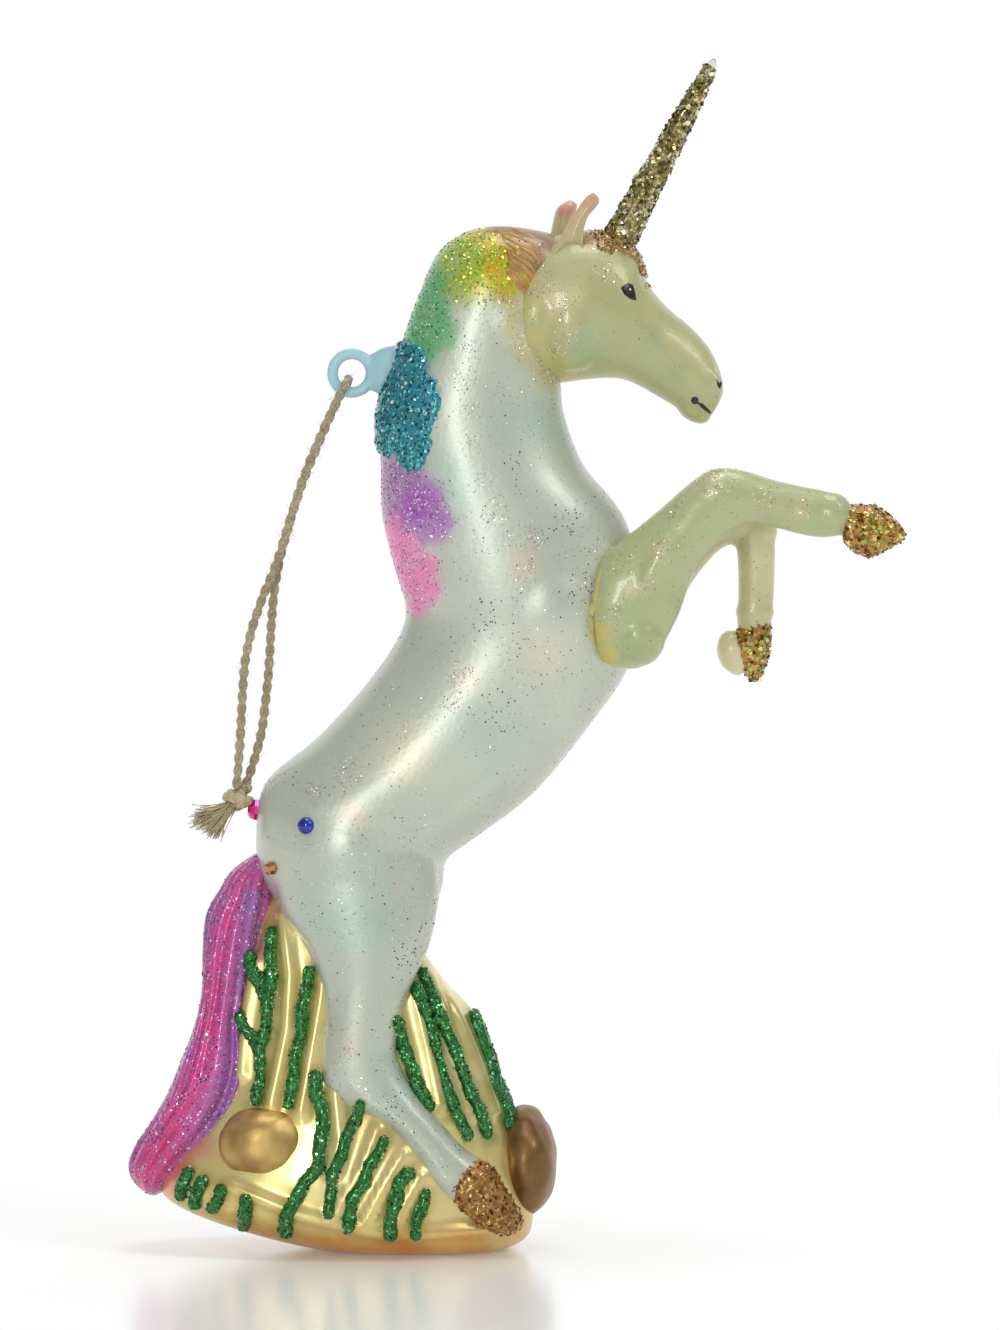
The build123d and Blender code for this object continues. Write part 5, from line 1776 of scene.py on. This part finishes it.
def ply_arrays(route, phase, offset, radius, pitch, around):
    """One ply that winds round the route."""
    even, spots, _, first, second = route_frames(route)
    turn = 2 * math.pi * even / pitch + phase
    swell = 1 + 0.10 * np.array([noise.noise(Vector((s / (1.7 * MM), phase, 0))) for s in even])
    axis = spots + offset * (np.cos(turn)[:, None] * first + np.sin(turn)[:, None] * second)
    verts = []
    for i in range(len(axis)):
        for k in range(around):
            angle = 2 * math.pi * k / around
            rough = 1 + 0.10 * noise.noise(Vector((even[i] / (0.5 * MM), k * 1.7, phase)))
            out = math.cos(angle) * first[i] + math.sin(angle) * second[i]
            verts.append(axis[i] + radius * swell[i] * rough * out)
    return verts, ring_faces(len(axis), around)


PLY_PHASES = (0.0, math.pi)
plies = [ply_arrays(cord_route, phase, 0.25 * MM, 0.43 * MM, pitch=3.5 * MM, around=12)
         for phase in PLY_PHASES]
jute_string = new_piece("jute_string", *joined(plies), body="hanging_loop")
print("string", len(jute_string.data.polygons), "faces")

# %% [markdown]
# ## Knot
# Both ends are tied in one overhand knot. The knot is a short, fat string that
# loops over itself.

# %% Knot
KNOT = Vector((-26.7 * MM, 0, 64.5 * MM))
KNOT_TURNS = 1.55
KNOT_POINTS = 60
knot_parts = []
for strand in range(2):
    line = []
    for i in range(KNOT_POINTS):
        t = i / (KNOT_POINTS - 1)
        a = 2 * math.pi * t * KNOT_TURNS + strand * 0.5
        out = (1.42 + 0.12 * strand) * (1 + 0.12 * math.sin(3 * a))
        x = out * math.cos(a) * 0.95 + 0.35 * (t - 0.5)
        y = out * 0.82 * math.sin(a)
        z = (1.75 - 3.3 * t) * 0.8 + 0.30 * math.sin(2 * a) - 0.4 * strand
        line.append(KNOT + Vector((x, y, z)) * MM)
    for phase in PLY_PHASES:
        knot_parts.append(ply_arrays(line, phase, 0.28 * MM, 0.50 * MM, pitch=3.6 * MM, around=10))
knot_parts.append(oval_arrays((KNOT.x / HEIGHT, KNOT.z / HEIGHT, 0), (1.15, 1.05, 1.5)))
jute_knot = new_piece("jute_knot", *joined(knot_parts), body="hanging_loop")
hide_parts("cord_knot")
print("knot", len(jute_knot.data.polygons), "faces")

# %% [markdown]
# ## Frayed ends and fuzz
# Below the knot the two ends are cut and have frayed into a brush of
# straw-coloured fibres, held together near the knot. Finer fibres stick out of
# the string all along.

# %% Frayed ends and fuzz
FRAY_FIBRES = 300
FRAY_LEAN = 52
FUZZ_FIBRES = 280


def fibre_arrays(start, reach, bend, radii, around):
    """A thin tube that bends away from its straight line."""
    line = [start + reach * t + bend * t * t for t in np.linspace(0, 1, len(radii))]
    return tube_arrays(line, radii, around)


rng = np.random.default_rng(40)
fray_parts = []
for i in range(FRAY_FIBRES):
    bunch = i % 2
    lean = math.radians(FRAY_LEAN + (14 if bunch else -13)) + rng.normal(0, 0.10)
    aside = rng.normal(0, 0.13) + (0.12 if bunch else -0.12)
    way = Vector((-math.sin(lean), aside, -math.cos(lean))).normalized()
    start = KNOT + Vector((-0.9, rng.normal(0, 0.4), -1.0)) * MM + Vector(rng.normal(0, 0.28, 3)) * MM
    length = rng.uniform(4.4, 5.9) * MM * (1.0 if bunch else 0.9)
    bend = Vector(rng.normal(0, 0.5, 3)) * MM
    radii = [rng.uniform(0.07, 0.13) * MM * (1.0 - 0.4 * t) for t in np.linspace(0, 1, 6)]
    fray_parts.append(fibre_arrays(start, way * length, bend, radii, around=4))
jute_fray = new_piece("jute_fray", *joined(fray_parts), body="hanging_loop")
fuzz_parts = []
_, spots, heading, first, second = route_frames(cord_route)
for i in range(FUZZ_FIBRES):
    index = int(rng.integers(3, len(spots) - 3))
    angle = rng.random() * 2 * math.pi
    out = math.cos(angle) * first[index] + math.sin(angle) * second[index]
    way = out * rng.uniform(0.5, 1.0) + heading[index] * rng.choice([-1, 1]) * rng.uniform(0.6, 1.4)
    way /= np.linalg.norm(way)
    start = spots[index] + out * 0.55 * MM
    length = rng.uniform(0.4, 1.3) * MM
    curl = rng.normal(0, 0.25, 3) * MM
    radii = [0.028 * MM * (1 - 0.5 * t) for t in np.linspace(0, 1, 4)]
    fuzz_parts.append(fibre_arrays(start, way * length, curl, radii, around=3))
jute_fuzz = new_piece("jute_fuzz", *joined(fuzz_parts), body="hanging_loop")
print("fibres", len(fray_parts), len(fuzz_parts))

# %% [markdown]
# ## Jute finish
# Jute is a dull, streaky fibre; where it has frayed it is paler. The string is
# limp.

# %% Jute finish
def jute_finish(name, colour, pale, dark):
    """Dull plant fibre with fine streaks."""
    material, tree, shader = new_finish(name)
    slow = group_node(tree, drift, {
        "Colour": rgba(colour), "Second colour": rgba(pale), "Scale": 500.0, "Amount": 0.8})
    fast = group_node(tree, drift, {
        "Colour": slow.outputs["Colour"], "Second colour": rgba(dark), "Scale": 3200.0, "Amount": 0.55})
    tree.links.new(fast.outputs["Colour"], shader.inputs["Base Color"])
    height = group_node(tree, uneven, {"Scale": 2500.0, "Fine share": 0.5}).outputs["Height"]
    bump_up(tree, shader, height, 0.8, 0.15)
    shader.inputs["Roughness"].default_value = 0.85
    shader.inputs["Sheen Weight"].default_value = 0.3
    return material


jute = jute_finish("jute", rgb(180, 162, 130), rgb(214, 200, 164), rgb(112, 94, 68))
straw = jute_finish("frayed jute", rgb(206, 190, 146), rgb(226, 214, 176), rgb(160, 140, 100))
for piece, finish in ((jute_string, jute), (jute_fuzz, jute), (jute_knot, straw), (jute_fray, straw)):
    wear(piece, finish)
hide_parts("hanging_cord")

# %% [markdown]
# ## Blow hole
# The hole under the base, where the glass pipe was, is closed with a dark seal.
# That CAD piece stays as it is and only gets its finish.

# %% Seal finish
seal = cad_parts["blow_hole_seal"]
wear(seal, lacquer(
    "seal", rgb(40, 32, 24), rgb(70, 54, 38), drift_scale=800, drift_amount=0.8, roughness=0.6, coat=0.0,
    bump=0.6))
print("seal finished")

# %% [markdown]
# ## Floor
# The figure stands on a sheet of white acrylic that mirrors it softly. Far from
# the figure the floor fades into plain white, so no horizon shows.

# %% Floor
def glowing(tree, strength):
    """An emission shader of plain white."""
    return node(tree, "ShaderNodeEmission", {"Color": WHITE, "Strength": strength})


def stage_sheet(name, finish_name, corners):
    """A four-sided sheet on the stage and the parts of its finish."""
    mesh = bpy.data.meshes.new(name)
    mesh.from_pydata(corners, [], [(0, 1, 2, 3)])
    sheet = in_scene(name, mesh)
    finish, tree, shader = new_finish(finish_name)
    mesh.materials.append(finish)
    return sheet, tree, shader


def mixed(tree, share, first, second):
    """The mix of two shaders by a share."""
    return node(tree, "ShaderNodeMixShader", {0: share, 1: first.outputs[0], 2: second.outputs[0]}).outputs[0]


FLOOR_HALF = 3
FLOOR_DROP = 0.05 * MM
FADE_START, FADE_END = 0.11, 0.32
floor, tree, shader = stage_sheet("floor", "white acrylic", [
    (-FLOOR_HALF, -FLOOR_HALF, 0), (FLOOR_HALF, -FLOOR_HALF, 0), (FLOOR_HALF, FLOOR_HALF, 0),
    (-FLOOR_HALF, FLOOR_HALF, 0)])
floor.location.z = -FLOOR_DROP
shader.inputs["Base Color"].default_value = (0.90, 0.90, 0.89, 1)
shader.inputs["Roughness"].default_value = 0.20
shader.inputs["Emission Color"].default_value = WHITE
shader.inputs["Emission Strength"].default_value = 0.10
shader.inputs["IOR"].default_value = 1.75
reach = node(tree, "ShaderNodeVectorMath", {0: object_place(tree)}, operation="LENGTH")
fade = node(tree, "ShaderNodeMapRange", {
    "Value": reach.outputs["Value"], "From Min": FADE_START, "From Max": FADE_END})
blend = mixed(tree, fade.outputs["Result"], shader, glowing(tree, 1.0))
tree.links.new(blend, tree.nodes["Material Output"].inputs["Surface"])
print("floor laid")

# %% [markdown]
# ## Bright screen
# A bright screen stands behind the figure and gives its outline a pale rim of
# reflections. The camera looks through the screen, so no edge of it shows.

# %% Screen behind the figure
SCREEN_HALF, SCREEN_BEHIND, SCREEN_TOP = 0.9, 0.75, 1.1
_, tree, _ = stage_sheet("screen", "bright screen", [
    (-SCREEN_HALF, SCREEN_BEHIND, 0), (SCREEN_HALF, SCREEN_BEHIND, 0),
    (SCREEN_HALF, SCREEN_BEHIND, SCREEN_TOP), (-SCREEN_HALF, SCREEN_BEHIND, SCREEN_TOP)])
path = node(tree, "ShaderNodeLightPath")
clear = node(tree, "ShaderNodeBsdfTransparent")
shown = mixed(tree, path.outputs["Is Camera Ray"], glowing(tree, 1.05), clear)
tree.links.new(shown, tree.nodes["Material Output"].inputs["Surface"])
print("screen up")

# %% [markdown]
# ## World and lamps
# White all round is seen by the camera only, so that the glass reflects a dimmer
# studio with a few soft lamps, and keeps its shades.

# %% World and lamps
world = bpy.data.worlds.new("studio")
bpy.context.scene.world = world
world.use_nodes = True
tree = world.node_tree
tree.nodes.clear()
path = node(tree, "ShaderNodeLightPath")
white = node(tree, "ShaderNodeBackground", {"Color": WHITE, "Strength": 1.0})
dim = node(tree, "ShaderNodeBackground", {"Color": (0.97, 1, 0.98, 1), "Strength": 0.37})
node(tree, "ShaderNodeOutputWorld", {0: mixed(tree, path.outputs["Is Camera Ray"], dim, white)})
LIT_PLACE = Vector((0, 0, 0.08))
for name, place, size, power in (
    ("left box", (-0.24, -0.95, 0.32), (0.11, 0.32), 1.8),
    ("right box", (0.50, -0.32, 0.62), (0.20, 0.36), 1.1),
    ("top box", (0.05, 0.00, 0.80), (0.36, 0.36), 1.8),
):
    data = bpy.data.lights.new(name, "AREA")
    data.shape = "RECTANGLE"
    data.size, data.size_y = size
    data.energy = power
    lamp = in_scene(name, data)
    lamp.location = place
    lamp.rotation_euler = (LIT_PLACE - Vector(place)).to_track_quat("-Z", "Y").to_euler()
bpy.context.scene.view_settings.view_transform = "Standard"
